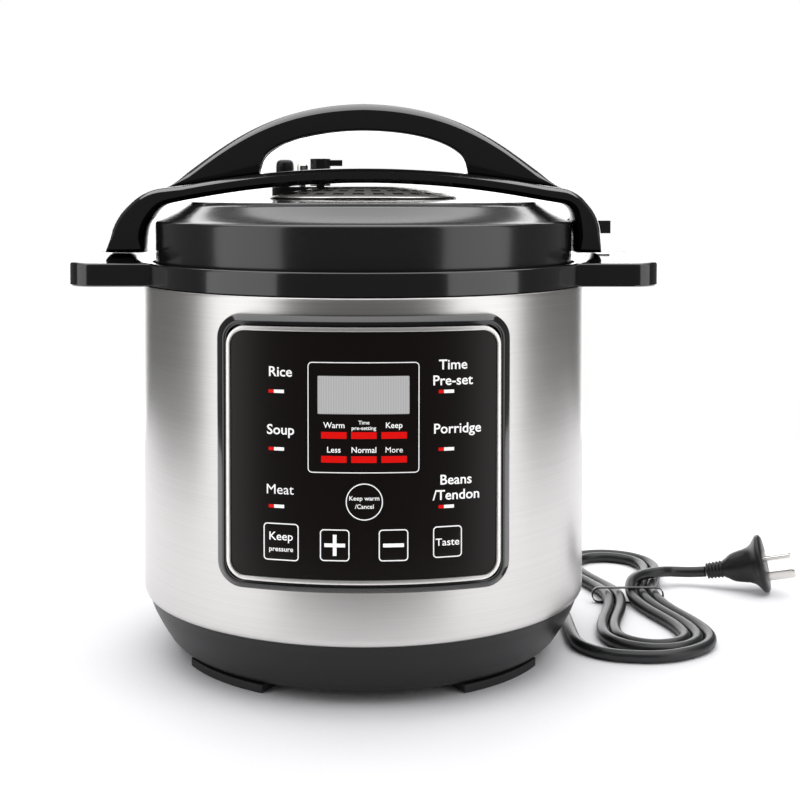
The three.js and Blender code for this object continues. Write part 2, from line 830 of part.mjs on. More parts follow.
// Outline of the bridge across the lid, seen from the front.
function strapOutline() {
  const foot = crownTop - collarTop + legLift;
  const { x, h } = strapShoulder;
  const crown = 2 * strapTop - h;
  const underEdge = h - strapThickness + 5.6;
  const underCrown = 2 * (strapTop - strapThickness) - underEdge;
  const outline = new THREE.Shape();
  outline.moveTo(-strapLeft, foot);
  outline.lineTo(-strapLeft, 14);
  outline.bezierCurveTo(-strapLeft, 30, -x - 18, h - 3.8, -x, h);
  outline.quadraticCurveTo(0, crown, x, h);
  outline.bezierCurveTo(x + 4.5, h - 1.6, strapRight - 1.5, 27, strapRight, 12);
  outline.lineTo(strapRight, foot);
  outline.lineTo(strapRight - strapLegRight, foot);
  outline.lineTo(strapRight - strapLegRight, lidRimHeight - 4);
  outline.quadraticCurveTo(x, 34, x - 25, underEdge);
  outline.quadraticCurveTo(0, underCrown, -x + 25, underEdge);
  outline.quadraticCurveTo(-x, 34, -strapLeft + strapLegLeft, lidRimHeight - 4);
  outline.lineTo(-strapLeft + strapLegLeft, foot);
  return outline;
}

// Height of the bridge's top along its middle stretch.
const strapHeight = (x) =>
  strapTop - (strapTop - strapShoulder.h) * (x / strapShoulder.x) ** 2;

function lidStrap() {
  const bridge = alongY(strapOutline(), -strapHalfWidth, strapHalfWidth, 14);
  const bosses = joined(bar(8, 20, 46, 20, -80), bar(8, 20, 46, 20, 80));
  return bridge.add(bosses).subtract(lidSpace(0.9));
}

function lidHandle() {
  const toe = strapShoulder.x;
  const foot = (x) => strapHeight(x) + gap;
  const outline = new THREE.Shape();
  outline.moveTo(-toe, foot(toe));
  outline.bezierCurveTo(-88, 63, -62, archTop - 1, 0, archTop);
  outline.bezierCurveTo(62, archTop - 1, 88, 63, toe, foot(toe));
  for (let x = toe - 10; x > gripHalfLength; x -= 10) outline.lineTo(x, foot(x));
  outline.lineTo(gripHalfLength, foot(gripHalfLength));
  outline.lineTo(gripHalfLength, gripShoulder);
  outline.bezierCurveTo(38, gripTop - 5, 22, gripTop, 0, gripTop);
  outline.bezierCurveTo(-22, gripTop, -38, gripTop - 5, -gripHalfLength, gripShoulder);
  outline.lineTo(-gripHalfLength, foot(gripHalfLength));
  for (let x = gripHalfLength + 10; x < toe; x += 10) outline.lineTo(-x, foot(x));
  return alongY(outline, -archHalfWidth, archHalfWidth, 14);
}

function lidBadge() {
  const stations = [20, 40, domeRadius - 0.3];
  return turned([
    ...stations.map((r) => [r, coverHeight(r) + 0.4]),
    ...stations.reverse().map((r) => [r, coverHeight(r) + 1.2]),
  ]).subtract(raised(deckOutline(0.6), 0, 80));
}

const fin = { tip: 155.6, y: 40, width: 4, low: 14.7, high: 22.7 };

// Plan of the moulded deck that the valves stand on, grown by a margin.
function deckOutline(grow) {
  const { left, right, front, back } = valves.deck;
  return roundedRectangle(
    right - left + 2 * grow, back - front + 2 * grow, 7, (left + right) / 2, (front + back) / 2,
  );
}

function valveDeck() {
  const { deck, vent, float, lever } = valves;
  return raised(deckOutline(0), deck.low - 4, deck.high)
    .add(bar(lever.post, deck.high - 1, lever.top - 4, 14, lever.x, lever.y))
    .subtract(lidSpace(gap))
    .subtract(bar(vent.pipe + gap, 0, 80, 16, vent.x, vent.y))
    .subtract(bar(float.stem + stemRoom, 0, 80, 16, float.x, float.y));
}

piece(lid, "lid_shell", lidShell(), "enamelBlack");
piece(lid, "lid_cover", lidCover(), "glossBlack");
piece(lid, "lid_strap", lidStrap(), "glossBlack");
piece(lid, "lid_handle", lidHandle(), "glossBlack");
piece(lid, "lid_badge", lidBadge(), "silverTrim");
piece(
  lid,
  "lid_fin",
  block([100, fin.y - fin.width / 2, fin.low], [fin.tip, fin.y + fin.width / 2, fin.high]).subtract(
    bar(lidRadius + gap, 0, 60, roundSides),
  ),
  "satinBlack",
);
piece(lid, "valve_deck", valveDeck(), "satinBlack");

const { deck, vent, float, lever } = valves;
const ventTop = deck.high + 9;
piece(
  lid,
  "vent_pipe",
  turned([
    [1.2, recess - 8],
    [vent.pipe, recess - 8],
    [vent.pipe, ventTop],
    [1.2, ventTop],
  ], 16),
  "nickel",
).position.set(vent.x, vent.y, 0);
piece(
  lid,
  "steam_vent_cap",
  turned([
    [0, ventTop + 3.5],
    [vent.bore, ventTop + 3.5],
    [vent.bore, deck.high + 0.6],
    [vent.cap, deck.high + 0.6],
    [vent.cap, vent.top - 1],
    [vent.cap - 1, vent.top],
    [0, vent.top],
  ], smallSides),
  "satinBlack",
).position.set(vent.x, vent.y, 0);
const floatFlange = recess - lidWall - float.travel - 9;
piece(
  lid,
  "float_pin",
  turned([
    [0, floatFlange],
    [float.stem + 2, floatFlange],
    [float.stem + 2, floatFlange + 2],
    [float.stem, floatFlange + 2],
    [float.stem, deck.high + 1],
    [float.head, deck.high + 2],
    [float.head, float.top - 1],
    [float.head - 1, float.top],
    [0, float.top],
  ], 16),
  "nickel",
).position.set(float.x, float.y, 0);
piece(
  lid,
  "release_lever",
  joined(
    bar(lever.hub, deck.high + 0.6, lever.top),
    block([0, -lever.width / 2, lever.top - 4.6], [lever.reach, lever.width / 2, lever.top - 0.8]),
  ).subtract(bar(lever.post + 0.4, 0, lever.top - 3, 14)),
  "satinBlack",
).position.set(lever.x, lever.y, 0);

// Inner lid plate, sealing ring and the hub that the lid turns on.
const seal = { inner: potRadius - 3, outer: potRadius + 9, height: 8 };
function lidPlate() {
  const plate = turned([
    [hub.stem - 3, hub.plateTop - lidWall],
    [seal.inner - gap, hub.plateTop - lidWall],
    [seal.inner - gap, hub.plateTop],
    [hub.stem - 3, hub.plateTop],
  ]);
  const vents = [];
  for (let i = 0; i < 6; i++) {
    vents.push(bar(5, 0, 20, 10, 66, 0).rotate([0, 0, 60 * i]));
  }
  return plate.subtract(joined(...vents));
}

piece(lid, "lid_plate", lidPlate(), "drawnSteel");
piece(
  lid,
  "sealing_ring",
  turned([
    [seal.inner, 0],
    [seal.outer, 0],
    [seal.outer, seal.height],
    [seal.inner + 4, seal.height],
    [seal.inner + 4, seal.height - 2.5],
    [seal.outer - 4, seal.height - 2.5],
    [seal.outer - 4, 2.5],
    [seal.inner, 2.5],
  ]),
  "silicone",
);
piece(
  lid,
  "lid_hub",
  turned([
    [0, 1],
    [hub.head, 1],
    [hub.head, hub.plateTop - lidWall - gap],
    [hub.stem - 3.4, hub.plateTop - lidWall - gap],
    [hub.stem - 3.4, hub.plateTop + gap],
    [hub.stem, hub.plateTop + gap],
    [hub.stem, recess + gap],
    [hub.head, recess + gap],
    [hub.head, recess + 3],
    [0, recess + 3],
  ], 24),
  "drawnSteel",
);

// ---------------------------------------------------------------- mains lead
// Where the lead lies: out of the base, round its right side, into the hank, then to the plug.
const leadPoints = [
  [49.4, 135.6, 19], [52, 142.8, 18.4], [54.2, 148.8, 17], [56.8, 155.4, 15], [62.4, 165.2, 11.6],
  [72, 173.3, 8.2], [83.7, 177.6, 5.6], [96.3, 177.6, 4.2], [108, 173.3, 3.7], [117.6, 165.2, 3.6],
  [123.8, 154.4, 3.6], [126.6, 142.1, 3.6], [127.4, 126, 3.6], [127.6, 108, 3.6], [127.6, 90, 3.6],
  [127.4, 70, 3.6], [127, 50, 3.6], [126.5, 30, 3.6], [126, 12, 3.6], [125.5, -5, 3.6],
  [125.4, -20, 3.6], [126.4, -27.5, 3.6], [129.3, -34.5, 3.6], [133.9, -40.5, 3.6],
  [139.9, -45.1, 3.6], [147.2, -48.1, 3.6], [154.6, -49.3, 3.6],
];
const plugLeadPoints = [
  [212.5, 105, 9.4], [217.6, 104.9, 9.2], [223, 104.1, 9.3], [228.2, 102.8, 9.8], [233.2, 101.1, 10.6],
];
const hank = {
  near: [173, -10], // centre of the near loop
  run: 150, // between the centres of the loops
  outer: 38, // half the width over the cord at the loops
  waist: 16, // how far the tie draws each side in
  lean: 0, // degrees that the far end lies further left
  height: 9.2,
};
const entry = { from: -17.9, y: -39 }; // where the lead comes in, from the near loop's centre
const tieBand = { width: 4, wall: 1, room: 0.6, under: 1.7 };

function leadTube(points) {
  const route = new THREE.CatmullRomCurve3(points.map((p) => new THREE.Vector3(...p)), false, "centripetal");
  const steps = Math.ceil(route.getLength() / (2.5 * cordDiameter));
  return new THREE.ExtrudeGeometry(circle(cordDiameter / 2), {
    steps: Math.max(steps, 10),
    curveSegments: 5,
    extrudePath: route,
  });
}

// Half the hank's width at a distance along it from the near loop's centre.
const hankHalfWidth = (s) => hank.outer - hank.waist * Math.sin((Math.PI * s) / hank.run) ** 2;

// The hank lies along +X here, from the near loop at the origin.
function cordHank() {
  const outline = new THREE.Shape();
  const stations = 12;
  outline.absarc(0, 0, hank.outer, Math.PI / 2, 1.5 * Math.PI);
  for (let i = 1; i < stations; i++) {
    const s = (hank.run * i) / stations;
    outline.lineTo(s, -hankHalfWidth(s));
  }
  outline.absarc(hank.run, 0, hank.outer, -Math.PI / 2, Math.PI / 2);
  for (let i = stations - 1; i > 0; i--) {
    const s = (hank.run * i) / stations;
    outline.lineTo(s, hankHalfWidth(s));
  }
  const middle = hank.run / 2;
  const notch = block(
    [middle - tieBand.width, -60, -1],
    [middle + tieBand.width, 60, tieBand.under],
  );
  const crossing = block([middle + 8, -39, 1], [middle + 52, 6, 14.6]);
  const inlet = block([entry.from, entry.y - 3.7, 0], [2, entry.y + 3.7, 7.4]);
  return joined(raised(outline, 0, hank.height, 8), crossing, inlet.rotate([0, 0, -90 - hank.lean]))
    .subtract(notch);
}

function cordTie() {
  const { width, wall, room, under } = tieBand;
  const half = hank.outer - hank.waist + room;
  const [low, high] = [under - gap, hank.height + gap];
  const band = (grow) =>
    block([-width / 2 - grow, -half - grow * wall, low - grow * wall], [width / 2 + grow, half + grow * wall, high + grow * wall]);
  const outside = block([-width / 2, -half - wall, low - wall], [width / 2, half + wall, high + wall]);
  return outside.subtract(band(0).scale([2, 1, 1]));
}

piece(cooker, "cord_lead", leadTube(leadPoints), "cordRubber");
piece(cooker, "plug_lead", leadTube(plugLeadPoints), "cordRubber");
const coil = new THREE.Group();
coil.position.set(hank.near[0], hank.near[1], 0);
coil.rotation.z = THREE.MathUtils.degToRad(90 + hank.lean);
cooker.add(coil);
piece(coil, "cord_hank", cordHank(), "cordRubber");
piece(coil, "cord_tie", cordTie(), "satinBlack").position.x = hank.run / 2;

// The strain relief, from inside the bowl outwards.
const relief = piece(
  cooker,
  "cord_gland",
  turned([
    [0, 0],
    [gland.root + gland.flange, 0],
    [gland.root + gland.flange, 2],
    [gland.root, 2],
    [gland.root, 10],
    [gland.tip, gland.length],
    [0, gland.length],
  ], smallSides),
  "cordRubber",
);
relief.rotation.set(0, Math.PI / 2, glandAngle, "ZYX");
relief.position.set(gland.start * Math.cos(glandAngle), gland.start * Math.sin(glandAngle), glandHeight);

// The plug, with its face at the group's origin and its pins along +X.
const plug = new THREE.Group();
plug.position.set(269.7, 88.4, 19.8);
plug.rotation.set(0, THREE.MathUtils.degToRad(-13), THREE.MathUtils.degToRad(-19), "ZYX");
cooker.add(plug);
const pin = { length: 18, width: 6.3, thickness: 1.6, seat: 5 };
const pinPlaces = {
  plug_pin_live: [-7, 4, 60],
  plug_pin_neutral: [7, 4, -60],
  plug_pin_earth: [0, -9, 0],
};

function pinBlade([across, up, lean], room) {
  return block(
    [-pin.seat - room, -pin.thickness / 2 - room, -pin.width / 2 - room],
    [pin.length, pin.thickness / 2 + room, pin.width / 2 + room],
  )
    .rotate([lean, 0, 0])
    .translate([0, across, up]);
}

function plugBody() {
  const profile = [
    [0, 0],
    [18, 0],
    [19, -1],
    [19, -3],
    [16.5, -5],
    [12.5, -9],
    [11, -14],
    [9, -22],
    [6.5, -26],
    [5.4, -39],
    [0, -39],
  ];
  const body = turned(profile, 20).rotate([0, 90, 0]);
  return body.subtract(joined(...Object.values(pinPlaces).map((place) => pinBlade(place, gap))));
}

piece(plug, "plug_body", plugBody(), "cordRubber");
for (const [name, place] of Object.entries(pinPlaces)) {
  piece(plug, name, pinBlade(place, 0), "nickel");
}

export default cooker;
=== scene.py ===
import json
import math

import bmesh
import bpy
import numpy as np
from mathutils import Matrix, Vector
from mathutils.geometry import delaunay_2d_cdt


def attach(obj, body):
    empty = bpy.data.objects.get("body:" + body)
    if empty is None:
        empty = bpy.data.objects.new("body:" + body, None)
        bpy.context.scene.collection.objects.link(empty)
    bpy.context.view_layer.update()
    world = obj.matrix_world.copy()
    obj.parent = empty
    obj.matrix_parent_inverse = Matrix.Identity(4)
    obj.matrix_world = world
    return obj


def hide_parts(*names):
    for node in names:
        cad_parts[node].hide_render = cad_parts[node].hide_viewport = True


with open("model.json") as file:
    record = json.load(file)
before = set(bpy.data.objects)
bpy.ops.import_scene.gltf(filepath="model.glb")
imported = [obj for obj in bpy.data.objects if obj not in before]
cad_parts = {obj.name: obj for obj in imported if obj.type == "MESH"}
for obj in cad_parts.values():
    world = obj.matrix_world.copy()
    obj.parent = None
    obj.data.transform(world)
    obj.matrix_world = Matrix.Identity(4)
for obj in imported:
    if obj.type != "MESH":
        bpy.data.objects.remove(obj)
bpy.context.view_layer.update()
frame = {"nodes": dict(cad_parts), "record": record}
mm = 0.001  # lengths below are in millimetres where they are multiplied by this
print("frame loaded:", len(frame["nodes"]), "nodes")

# The camera stands in front, a little above the lid's rim, and its frame is shifted to take in the lead.
cameraSet = {"place": (0, -0.8268, 0.2699), "tilt": 88.24, "lens": 61.79, "shift": (0.0456, -0.209)}
cameraData = bpy.data.cameras.new("studioCamera")
camera = bpy.data.objects.new("studioCamera", cameraData)
bpy.context.scene.collection.objects.link(camera)
bpy.context.scene.camera = camera
camera.location = cameraSet["place"]
camera.rotation_euler = (math.radians(cameraSet["tilt"]), 0, 0)
cameraData.lens = cameraSet["lens"]
cameraData.shift_x, cameraData.shift_y = cameraSet["shift"]
cameraData.clip_start = 0.02


# A mesh object from an array of points in millimetres and a list or array of faces. It rides the body, and
# takes the place of the nodes.
def newPiece(name, points, faces, material, body, nodes=(), smooth=True):
    mesh = bpy.data.meshes.new(name)
    mesh.from_pydata((np.asarray(points, float).reshape(-1, 3) * mm).tolist(), [], [list(f) for f in faces])
    mesh.validate()
    mesh.polygons.foreach_set("use_smooth", np.full(len(mesh.polygons), smooth))
    mesh.update()
    piece = bpy.data.objects.new(name, mesh)
    bpy.context.scene.collection.objects.link(piece)
    piece.data.materials.append(material)
    if nodes:
        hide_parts(*nodes)
    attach(piece, body)
    return piece


# Quads of a grid of rows by columns, wrapped round where it closes, leaving out those not kept.
def gridFaces(rows, columns, closeRows, closeColumns, keep=None):
    i = np.arange(rows if closeRows else rows - 1)
    j = np.arange(columns if closeColumns else columns - 1)
    a, b = np.meshgrid(i, j, indexing="ij")
    a2, b2 = (a + 1) % rows, (b + 1) % columns
    quads = np.stack([a * columns + b, a2 * columns + b, a2 * columns + b2, a * columns + b2], -1)
    quads = quads[keep] if keep is not None else quads.reshape(-1, 4)
    return quads.reshape(-1, 4)


# Quads between rings of as many sides, and a fan at each end, whose two middle points come last.
def cappedFaces(rings, sides):
    low, high, last = rings * sides, rings * sides + 1, (rings - 1) * sides
    k = np.arange(sides)
    following = (k + 1) % sides
    start = np.stack([np.full(sides, low), following, k], -1)
    end = np.stack([np.full(sides, high), last + k, last + following], -1)
    return gridFaces(rings, sides, False, True)[:, ::-1].tolist() + start.tolist() + end.tolist()


# A profile of radius and height turned about Z: the point at angle t is (r cos t, r sin t, z).
# wobble gives a factor on the radius at each angle and profile station.
def turnedGrid(profile, sides, wobble=None):
    profile = np.asarray(profile, float)
    angles = np.linspace(0, 2 * np.pi, sides, endpoint=False)
    r = np.repeat(profile[:, 0][:, None], sides, 1)
    if wobble is not None:
        r = r * wobble(angles[None, :], np.arange(len(profile))[:, None])
    z = np.repeat(profile[:, 1][:, None], sides, 1)
    return np.stack([r * np.cos(angles), r * np.sin(angles), z], -1)


# A solid turned about Z. The profile runs up the outside, and closes on itself or has its ends on the axis.
def turnedPiece(name, profile, material, body, nodes=(), sides=128, wobble=None, place=None):
    profile = np.asarray(profile, float)
    points = turnedGrid(profile, sides, wobble)
    rows = len(profile)
    if profile[0, 0] > 0:
        faces = gridFaces(rows, sides, True, True)[:, ::-1].tolist()
        flat = points.reshape(-1, 3)
    else:
        faces = cappedFaces(rows - 2, sides)
        flat = np.vstack([points[1:-1].reshape(-1, 3), points[0, 0], points[-1, 0]])
    if place is not None:
        flat = place(flat)
    return newPiece(name, flat, faces, material, body, nodes)


# A polygon with its corners rounded: each corner becomes an arc-like quadratic curve of that reach.
def rounded(corners, radius, steps=4, closed=True):
    corners = np.asarray(corners, float)
    count = len(corners)
    out = []
    for i, corner in enumerate(corners):
        if not closed and i in (0, count - 1):
            out.append(corner[None])
            continue
        before, after = corners[i - 1] - corner, corners[(i + 1) % count] - corner
        reach = min(radius, 0.45 * np.linalg.norm(before), 0.45 * np.linalg.norm(after))
        a = corner + before / np.linalg.norm(before) * reach
        b = corner + after / np.linalg.norm(after) * reach
        t = np.linspace(0, 1, steps + 1)[:, None]
        out.append((1 - t) ** 2 * a + 2 * t * (1 - t) * corner + t**2 * b)
    return np.vstack(out)


# A rounded rectangle, anticlockwise, as an array of points.
def roundedBox(width, height, corner, steps=8, x=0.0, y=0.0):
    quarter = np.linspace(0, np.pi / 2, steps + 1)
    parts = []
    for k, (sx, sy) in enumerate([(1, 1), (-1, 1), (-1, -1), (1, -1)]):
        angles = quarter + k * np.pi / 2
        centre = np.array([sx * (width / 2 - corner), sy * (height / 2 - corner)])
        parts.append(centre + corner * np.stack([np.cos(angles), np.sin(angles)], -1))
    return np.vstack(parts) + np.array([x, y])


# A circle, anticlockwise: the point at angle t is (x + r cos t, y + r sin t).
def circle(radius, sides, x=0.0, y=0.0):
    t = np.linspace(0, 2 * np.pi, sides, endpoint=False)
    return np.stack([x + radius * np.cos(t), y + radius * np.sin(t)], -1)


# An outline moved inwards: each point goes along the mean of its two edges' normals.
def inset(outline, distance):
    along = np.roll(outline, -1, 0) - np.roll(outline, 1, 0)
    normal = np.stack([-along[:, 1], along[:, 0]], -1)
    return outline + normal / np.linalg.norm(normal, axis=1)[:, None] * distance


# A closed outline with points added so that none are further apart than the spacing.
def subdivided(outline, spacing):
    outline = np.asarray(outline, float)
    following = np.roll(outline, -1, 0)
    parts = []
    for a, b in zip(outline, following):
        count = max(1, int(np.ceil(np.linalg.norm(b - a) / spacing)))
        t = np.arange(count)[:, None] / count
        parts.append(a + (b - a) * t)
    return np.vstack(parts)


# Live bevel on the sharp edges, for small rounded corners that catch the light.
def finishEdges(piece, width, segments=2, angle=35):
    bevel = piece.modifiers.new("edges", "BEVEL")
    bevel.width, bevel.segments = width * mm, segments
    bevel.limit_method, bevel.angle_limit = "ANGLE", math.radians(angle)
    bevel.harden_normals = False
    return piece


# Live wall, put on inside the sheet.
def solidify(piece, thickness):
    wall = piece.modifiers.new("wall", "SOLIDIFY")
    wall.thickness, wall.offset = thickness * mm, -1
    return piece


# Joins points that lie within the reach, and turns every face outwards.
def outwards(piece, reach=0.0):
    shape = bmesh.new()
    shape.from_mesh(piece.data)
    if reach > 0:
        bmesh.ops.remove_doubles(shape, verts=shape.verts, dist=reach)
    bmesh.ops.recalc_face_normals(shape, faces=shape.faces)
    shape.to_mesh(piece.data)
    shape.free()
    return piece


# Joined and turned outwards, with the edges over 38 degrees left crisp. The reach is in metres.
def weld(piece, reach=0.00002):
    outwards(piece, reach)
    piece.data.set_sharp_from_angle(angle=math.radians(38))
    return piece


# Points and triangles that fill the first outline less the others, in plan, by a constrained triangulation.
# With a spacing, a regular grid of points is put inside so that the sheet can be bent.
def filledPlan(outlines, spacing=None):
    points, loops, start = [], [], 0
    for outline in outlines:
        points.append(np.asarray(outline, float))
        loops.append(list(range(start, start + len(outline))))
        start += len(outline)
    if spacing:
        low, high = points[0].min(0), points[0].max(0)
        gx, gy = np.meshgrid(np.arange(low[0] + spacing / 2, high[0], spacing),
                             np.arange(low[1] + spacing / 2, high[1], spacing))
        points.append(np.stack([gx.ravel(), gy.ravel()], -1))
    plan = [Vector(p) for p in np.vstack(points).tolist()]
    verts, _, tris, _, _, faceFrom = delaunay_2d_cdt(plan, [], loops, 0, 1e-5)
    verts = np.array([tuple(v) for v in verts])
    return verts, [list(tri) for tri, origin in zip(tris, faceFrom) if list(origin) == [0]]


# Faces of a thin plate whose two sheets are numbered alike: the first sheet, the second turned over and
# counted on, and a strip along every edge that has one face.
def plateFaces(sheet, count):
    edges = {(face[k], face[(k + 1) % len(face)]) for face in sheet for k in range(len(face))}
    rims = [[b, a, a + count, b + count] for a, b in edges if (b, a) not in edges]
    return [list(face) for face in sheet] + [[k + count for k in face[::-1]] for face in sheet] + rims


# sRGB hex to linear rgba.
def linear(hexColour):
    value = np.array([int(hexColour[i:i + 2], 16) / 255 for i in (1, 3, 5)])
    value = np.where(value <= 0.04045, value / 12.92, ((value + 0.055) / 1.055) ** 2.4)
    return (*value.tolist(), 1.0)


# Adds a node, sets its properties or sockets by name, and links named sockets to other nodes' outputs.
def addNode(tree, kind, settings=None, links=None):
    node = tree.nodes.new(kind)
    for key, value in (settings or {}).items():
        if isinstance(key, str) and hasattr(node, key):
            setattr(node, key, value)
        else:
            node.inputs[key].default_value = value
    for key, source in (links or {}).items():
        tree.links.new(source, node.inputs[key])
    return node


# A material with a shader whose constants are set on its own sockets. Returns it with its tree and shader.
def newMaterial(name, base, roughness, metallic=0.0, extra=None):
    material = bpy.data.materials.new(name)
    material.use_nodes = True
    tree = material.node_tree
    shader = tree.nodes["Principled BSDF"]
    shader.inputs["Base Color"].default_value = linear(base)
    shader.inputs["Roughness"].default_value = roughness
    shader.inputs["Metallic"].default_value = metallic
    for key, value in (extra or {}).items():
        shader.inputs[key].default_value = value
    return material, tree, shader


# A material whose colour, roughness and height follow one noise on Object coordinates. grain is the size of
# its grains in mm, or three sizes along X, Y and Z; spread the change in roughness; bump a height in mm.
def patterned(name, base, other, roughness, spread, grain, bump, metallic=0.0, extra=None, detail=3.0):
    material, tree, shader = newMaterial(name, base, roughness, metallic, extra)
    coordinates = addNode(tree, "ShaderNodeTexCoord")
    grains = tuple((1 / (np.array(grain) * mm * np.ones(3))).tolist())
    mapping = addNode(tree, "ShaderNodeMapping", {"Scale": grains}, {"Vector": coordinates.outputs["Object"]})
    noise = addNode(tree, "ShaderNodeTexNoise", {"Scale": 1.0, "Detail": detail},
                    {"Vector": mapping.outputs["Vector"]})
    colour = addNode(tree, "ShaderNodeMix", {"data_type": "RGBA"}, {0: noise.outputs["Fac"]})
    colour.inputs[6].default_value, colour.inputs[7].default_value = linear(base), linear(other)
    tree.links.new(colour.outputs[2], shader.inputs["Base Color"])
    rough = addNode(tree, "ShaderNodeMapRange", {"To Min": roughness - spread, "To Max": roughness + spread},
                    {"Value": noise.outputs["Fac"]})
    tree.links.new(rough.outputs["Result"], shader.inputs["Roughness"])
    height = addNode(tree, "ShaderNodeBump", {"Distance": bump * mm, "Strength": 0.6},
                     {"Height": noise.outputs["Fac"]})
    tree.links.new(height.outputs["Normal"], shader.inputs["Normal"])
    return material


# 430 stainless, belt brushed round the body: long fine lines, drawn 0.38 mm apart so that they show.
brushedSteel = patterned("brushedStainlessSteel", "#c6c4c2", "#d9d8d6", 0.31, 0.04, (166.67, 166.67, 0.38462),
                         0.012, 1.0, None, 2.0)
# Drawn stainless: soft streaks 17 mm wide that the die leaves up the wall.
drawnSteel = patterned("drawnStainlessSteel", "#b5b4b2", "#a3a2a0", 0.34, 0.06, (16.667, 16.667, 111.11),
                       0.03, 1.0)
# Die cast aluminium: fine matt grain left by bead blasting, half a millimetre.
castAluminium = patterned("castAluminium", "#a8aaac", "#8f9193", 0.5, 0.07, 0.5, 0.04, 1.0)
# ABS moulded in a polished tool: deep gloss with a faint ripple some 30 mm long.
glossPlastic = patterned("glossBlackAbs", "#0f0e0f", "#131213", 0.14, 0.03, 33.333, 0.03, 0.0,
                         {"Coat Weight": 0.5, "Coat Roughness": 0.06}, 1.0)
# Polypropylene moulded in a spark-eroded tool: grain of about 0.6 mm that scatters the light.
satinPlastic = patterned("satinBlackPolypropylene", "#161516", "#1d1c1d", 0.38, 0.06, 0.625, 0.04, 0.0,
                         {"Specular IOR Level": 0.35})
# Baked paint on pressed steel: gloss with orange peel about 3 mm across.
paintedSteel = patterned("blackPaintedSteel", "#141314", "#1a191a", 0.2, 0.03, 3.0303, 0.012, 0.0,
                         {"Coat Weight": 0.35, "Coat Roughness": 0.12})
# Bright nickel plate, with slight waviness 2 mm across.
nickelPlate = patterned("brightNickelPlate", "#dcdad6", "#cfccc7", 0.2, 0.05, 2, 0.01, 1.0)
# Satin aluminium trim, finely blasted: a soft even shine.
satinTrim = patterned("satinAluminiumTrim", "#f0eeec", "#dfdcda", 0.32, 0.05, 3.3333, 0.003, 0.85)
# Hard coated polyester film with a warm black print on its back: grain of a millimetre.
panelFilm = patterned("printedPolyesterFilm", "#0b0503", "#0e0604", 0.3, 0.04, 1.1111, 0.006, 0.0,
                      {"Specular IOR Level": 0.3})
# Screen ink, slightly raised and matt, with the mesh's grain of a third of a millimetre. Its emission is a
# painted glow that makes the white look brighter than the light on it.
whiteInkPaintedGlow = patterned("whiteScreenInkPaintedGlow", "#fbfbfb", "#efefef", 0.5, 0.05, 0.33333, 0.005, 0.0,
                     {"Emission Color": linear("#ffffff"), "Emission Strength": 0.35})
# Red acrylic window over the lamps, with a faint unevenness under a millimetre across. Its emission is a
# painted glow that makes it look bright.
redLensPaintedGlow = patterned("redLampLensPaintedGlow", "#e80600", "#c40400", 0.25, 0.04, 0.83333, 0.01, 0.0,
                    {"Emission Color": linear("#e00400"), "Emission Strength": 0.35})
# Moulded silicone: milky, slightly dusty.
silicone = patterned("mouldedSilicone", "#c9c6bd", "#bab7ae", 0.55, 0.05, 0.66667, 0.02, 0.0,
                     {"Subsurface Weight": 0.1})
# Moulded rubber feet: dull, with a fine bloom a millimetre across.
footRubber = patterned("mouldedRubber", "#1b1b1c", "#262627", 0.7, 0.06, 1.1111, 0.05)
# Soft PVC sheath: smooth with a broad sheen, faintly uneven over 2.5 mm.
cordSheath = patterned("softPvcSheath", "#131415", "#1b1c1e", 0.36, 0.05, 2.5, 0.02)
# Smoked polycarbonate of the cup: glossy, with a ripple 25 mm long.
smokedPlastic = patterned("smokedPolycarbonate", "#2d3035", "#35383e", 0.16, 0.03, 25, 0.01)


# Fibreglass board under green solder mask: tracks a few millimetres apart show as paler lines.
def circuitBoardMaterial():
    material, tree, shader = newMaterial("solderMaskedBoard", "#1d4a2a", 0.35)
    coordinates = addNode(tree, "ShaderNodeTexCoord")
    tracks = addNode(tree, "ShaderNodeTexBrick",
                     {"Scale": 120.0, "Color1": linear("#1d4a2a"), "Color2": linear("#235832"),
                      "Mortar": linear("#3d7a4a"), "Mortar Size": 0.04},
                     {"Vector": coordinates.outputs["Object"]})
    tree.links.new(tracks.outputs["Color"], shader.inputs["Base Color"])
    return material


# Liquid crystal display at rest: pale grey and glossy, with its column lines drawn wide enough to show. Its
# emission is a painted glow that lifts the grey, though the display is not lit.
def displayMaterial():
    material, tree, shader = newMaterial("greyLiquidCrystalPaintedGlow", "#bebebe", 0.22, 0.0, {
        "Coat Weight": 0.6, "Emission Color": linear("#bebebe"), "Emission Strength": 0.22})
    coordinates = addNode(tree, "ShaderNodeTexCoord")
    lines = addNode(tree, "ShaderNodeTexWave", {"bands_direction": "X", "Scale": 250.0, "Distortion": 0.0},
                    {"Vector": coordinates.outputs["Object"]})
    mix = addNode(tree, "ShaderNodeMix", {"data_type": "RGBA"}, {0: lines.outputs["Fac"]})
    mix.inputs[6].default_value, mix.inputs[7].default_value = linear("#b4b4b5"), linear("#c6c6c6")
    tree.links.new(mix.outputs[2], shader.inputs["Base Color"])
    return material


